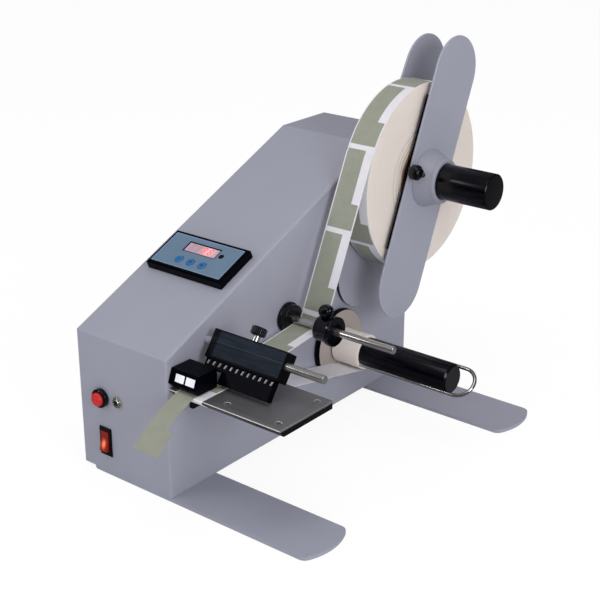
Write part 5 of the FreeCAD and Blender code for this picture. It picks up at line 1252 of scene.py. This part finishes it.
def panel_place():
    """Plane of the counter panel's face, at its middle."""
    low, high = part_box("panel_face")
    turn = Matrix.Rotation(SLOPE, 4, "X")
    return Matrix.Translation((low + high) / 2 + turn @ Vector((0, 0, 0.5 * MM))) @ turn


def digit_bars(left, low, height):
    """Outlines of the seven bars of a digit, leaning a little."""
    width, bar = height * 0.52, height * 0.13
    middle = height / 2
    gap = bar * 0.12
    across = {"a": height - bar, "g": middle - bar / 2, "d": 0}
    upright = {"f": (0, middle), "b": (width - bar, middle), "e": (0, 0),
               "c": (width - bar, 0)}
    outlines = []
    for name in "abcdefg":
        if name in across:
            base = across[name]
            points = [(bar * 0.5 + gap, base + bar / 2), (bar + gap, base),
                      (width - bar - gap, base), (width - bar * 0.5 - gap, base + bar / 2),
                      (width - bar - gap, base + bar), (bar + gap, base + bar)]
        else:
            side, base = upright[name]
            points = [(side + bar / 2, base + gap + bar * 0.3), (side + bar, base + bar * 0.8),
                      (side + bar, base + middle - bar * 0.8),
                      (side + bar / 2, base + middle - gap - bar * 0.3),
                      (side, base + middle - bar * 0.8), (side, base + bar * 0.8)]
        outlines.append([(left + u + v * 0.12, low + v) for u, v in points])
    return outlines


class DISPENSER_OT_panel(bpy.types.Operator):
    """Counter bezel, face, lit window, digits and keys"""
    bl_idname = "dispenser.panel"
    bl_label = "Counter panel"

    def mark(self, name, outlines, low, high, material, node, body="frame"):
        piece = slabs(name, [in_mm(outline) for outline in outlines],
                      low * MM, high * MM, panel_place(), material)
        return settle(piece, body, slot=SLOT_OF[node])

    def execute(self, context):
        refined("panel_bezel", black_moulded(), edge=0.4)
        refined("panel_face", soft_plastic("printed_polyester_face", colours().face, 0.42),
                edge=0)
        line = soft_plastic("pale_printed_line", shade(colours().face, 1.7), 0.5)
        self.mark("panel_border", frame_outlines(-46.4, 46.4, -21.8, 21.8, 0.5), -0.02,
                  0.06, line, "panel_face")
        window = panel_place() @ Vector((9.5 * MM, 8 * MM, 0))
        glass = lit("digit_window", linear("FF9C98"), colours().window, window, 14, 0.6)
        refined("panel_window", glass, edge=0)
        rim = black_glossy()
        # Deep window: its upper and left walls show black, the others catch pink light
        self.mark("window_rim", [box_outline(-21.8, 21.8, 13.7, 15.3),
                                 box_outline(-21.8, -20.2, 0.7, 13.7)], -0.05, 0.42, rim,
                  "panel_window")
        self.mark("window_sill", [box_outline(-20.2, 21.8, 0.9, 1.6),
                                  box_outline(21.1, 21.8, 1.6, 13.7)], -0.05, 0.42,
                  soft_plastic("pink_lit_sill", linear("6A4654"), 0.4), "panel_window")
        height = sizes().digit_height / MM
        dim, shown = [], []
        for index, bars in enumerate((dim, dim, shown, shown)):
            left = -16.6 + index * (height * 0.52 + 3.6)
            bars.extend(digit_bars(left, 8 - height / 2, height))
        # Light emitting bars: saturated red where lit, washed out where they only idle
        bright = lit("lit_digit_bars", colours().glow, shade(colours().glow, 0.7), window,
                     60, 1.5)
        faint = soft_plastic("idle_digit_bars", linear("C98A90"), 0.3)
        self.mark("lit_digits", shown, 0.18, 0.3, bright, "panel_window")
        self.mark("idle_digits", dim, 0.18, 0.28, faint, "panel_window")
        self.mark("panel_lamp", [disc_outline(27.0, 6.8, 3.0)], -0.02, 0.2, rim, "panel_bezel")
        ink = soft_plastic("dark_blue_print", shade(colours().key, 0.35), 0.45)
        minus = box_outline(-2.2, 2.2, -0.4, 0.4)
        signs = {"left_key": (-15.7, [minus]),
                 "middle_key": (0.0, [minus, box_outline(-0.4, 0.4, -2.2, 2.2)]),
                 "right_key": (15.7, [[(-1.5, -1.9), (2.1, 0), (-1.5, 1.9)]])}
        for node, (u, outlines) in signs.items():
            refined(node, soft_plastic("blue_key_cap", colours().key, 0.3, coat=0.3), edge=0)
            moved = [[(u + a, b - 11.5) for a, b in outline] for outline in outlines]
            self.mark(node + "_sign", moved, 0.58, 0.66, ink, node, BODY_OF[node])
        return {"FINISHED"}


# Front controls

class DISPENSER_OT_controls(bpy.types.Operator):
    """Push button, round socket and lit rocker on the front"""
    bl_idname = "dispenser.controls"
    bl_label = "Front controls"

    def turned(self, name, rows, node, material, radius, closed=True, steps=4, turns=64):
        low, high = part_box(node)
        at = Vector(((low.x + high.x) / 2, FRONT_Y, (low.z + high.z) / 2))
        return lathe(name, eased(in_mm(rows), radius, steps, closed), at, -Y_WAY, material,
                     closed=closed, turns=turns)

    def execute(self, context):
        red = soft_plastic("moulded_red_cap", colours().button, 0.3, coat=0.25)
        cap = self.turned("push_button_skin", [(-17, 0), (-17, 3), (-3, 3), (-3, 7.2),
                                               (8.4, 7.2), (9.7, 5.4), (10, 0)],
                          "push_button", red, 1.2, closed=False)
        settle(cap, BODY_OF["push_button"], "push_button")
        collar = self.turned("button_collar_skin",
                             [(-20, 3.3), (-6.3, 3.3), (-6.3, 7.5), (6, 7.5), (6, 8.9), (5, 10),
                              (0, 10), (0, 8.5), (-20, 8.5)],
                             "button_collar", black_glossy(), 0.4)
        settle(collar, "frame", "button_collar")
        # Nickel plated brass: warm bright rings round a dark hole
        nickel = surface("nickel_plated_brass", linear("C9C5BD"), 0.2, metal=1.0, tone=0.05,
                         grain=0.06, grain_mm=0.5, relief_mm=0.01)
        socket = self.turned("jack_socket_skin",
                             [(-15, 0), (-10.6, 0), (-10.6, 1.8), (3.1, 1.8), (3.4, 2.2),
                              (3.4, 3.7), (2.4, 3.95), (2.4, 5.3), (1.9, 5.8), (0, 5.8),
                              (0, 3.9), (-15, 3.9), (-15, 0)],
                             "jack_socket", nickel, 0.15, closed=False, steps=2)
        settle(socket, "frame", "jack_socket")
        bush = self.turned("jack_bush", [(2.0, 1.82), (3.6, 1.82), (3.6, 2.9), (2.0, 2.9)],
                           "jack_socket", soft_plastic("dark_socket_bush", linear("1A1618"),
                                                       0.4), 0.2, steps=3, turns=48)
        settle(bush, "frame", slot=SLOT_OF["jack_socket"])
        refined("rocker_frame", black_glossy(), edge=0.3)
        lamp = joint_place("rocker_tilt") + Vector((-0.5 * MM, -6 * MM, -2.2 * MM))
        glow = lit("lit_rocker_lens", linear("FF8048"), colours().rocker, lamp, 8.5, 1.25,
                   stretch=(1.5, 1, 0.85))
        refined("power_rocker", glow)
        return {"FINISHED"}


# Inside and rear

class DISPENSER_OT_inside(bpy.types.Operator):
    """Bearings, drive, supply, board, counter case and the mains inlet"""
    bl_idname = "dispenser.inside"
    bl_label = "Inside"

    def execute(self, context):
        # Sintered bronze: warm, slightly porous
        bronze = surface("sintered_bronze", linear("9A7B4F"), 0.4, metal=0.9, tone=0.08,
                         tone_mm=8, grain=0.3, grain_mm=0.6, relief_mm=0.03)
        # Deep drawn can: faint lines round the motor's axis
        can = surface("drawn_motor_can", linear("85878B"), 0.3, metal=0.9, tone=0.06,
                      grain=0.1, grain_mm=0.7, lay=(1, 0.05, 0.05), streak=0.2)
        # Pressed aluminium case: soft satin with a drift of tone
        case = surface("pressed_aluminium_case", linear("B2B4B6"), 0.38, metal=0.85,
                       tone=0.05, grain=0.12, grain_mm=0.8, lay=(1, 0.08, 1), streak=0.15)
        # Neoprene belt: dull black with a fine weave in relief
        rubber = surface("neoprene_belt", linear("1C1C1C"), 0.75, tone=0.1, grain=0.4,
                         grain_mm=0.8, relief_mm=0.05)
        # Glass epoxy board: green solder mask with the copper pattern just showing
        board = surface("solder_masked_board", linear("1F5A3A"), 0.3, tone=0.2, tone_mm=4,
                        grain=0.25, grain_mm=1.8, relief_mm=0.04, streak=0.3, coat=0.3)
        pulley = soft_plastic("moulded_pulley", linear("3A3A3E"), 0.45)
        finishes = {"supply_bearing": bronze, "rewind_bearing": bronze, "gear_motor": can,
                    "power_supply": case, "drive_belt": rubber, "controller_board": board,
                    "drive_pulley": pulley, "motor_pulley": pulley,
                    "motor_bracket": zinc_plate(), "counter_case": black_moulded(),
                    "power_inlet": black_moulded()}
        for node, material in finishes.items():
            refined(node, material, edge=0 if node == "drive_belt" else 0.25)
        return {"FINISHED"}


class DISPENSER_PT_panel(bpy.types.Panel):
    """Lists the operators, colours and sizes in the sidebar"""
    bl_label = "Dispenser"
    bl_idname = "DISPENSER_PT_panel"
    bl_space_type = "VIEW_3D"
    bl_region_type = "UI"
    bl_category = "Dispenser"

    def draw(self, context):
        layout = self.layout
        for operator in OPERATORS:
            layout.operator(operator.bl_idname)
        for group in (context.scene.dispenser_colours, context.scene.dispenser_sizes,
                      context.scene.dispenser_stage):
            box = layout.box()
            for name in group.bl_rna.properties.keys():
                if name not in ("rna_type", "name"):
                    box.prop(group, name)


OPERATORS = (DISPENSER_OT_stage, DISPENSER_OT_housing, DISPENSER_OT_screws,
             DISPENSER_OT_plate, DISPENSER_OT_sensor, DISPENSER_OT_press,
             DISPENSER_OT_guide, DISPENSER_OT_paper, DISPENSER_OT_roll,
             DISPENSER_OT_reel, DISPENSER_OT_rewind, DISPENSER_OT_panel,
             DISPENSER_OT_controls, DISPENSER_OT_inside)
CLASSES = (DispenserColours, DispenserSizes, DispenserStage) + OPERATORS + (
    DISPENSER_PT_panel,)


def register():
    for item in CLASSES:
        bpy.utils.register_class(item)
    bpy.types.Scene.dispenser_colours = bpy.props.PointerProperty(type=DispenserColours)
    bpy.types.Scene.dispenser_sizes = bpy.props.PointerProperty(type=DispenserSizes)
    bpy.types.Scene.dispenser_stage = bpy.props.PointerProperty(type=DispenserStage)


def unregister():
    del bpy.types.Scene.dispenser_stage
    del bpy.types.Scene.dispenser_sizes
    del bpy.types.Scene.dispenser_colours
    for item in reversed(CLASSES):
        bpy.utils.unregister_class(item)


def main():
    register()
    for operator in OPERATORS:
        group, name = operator.bl_idname.split(".")
        getattr(getattr(bpy.ops, group), name)()


if __name__ == "__main__":
    main()
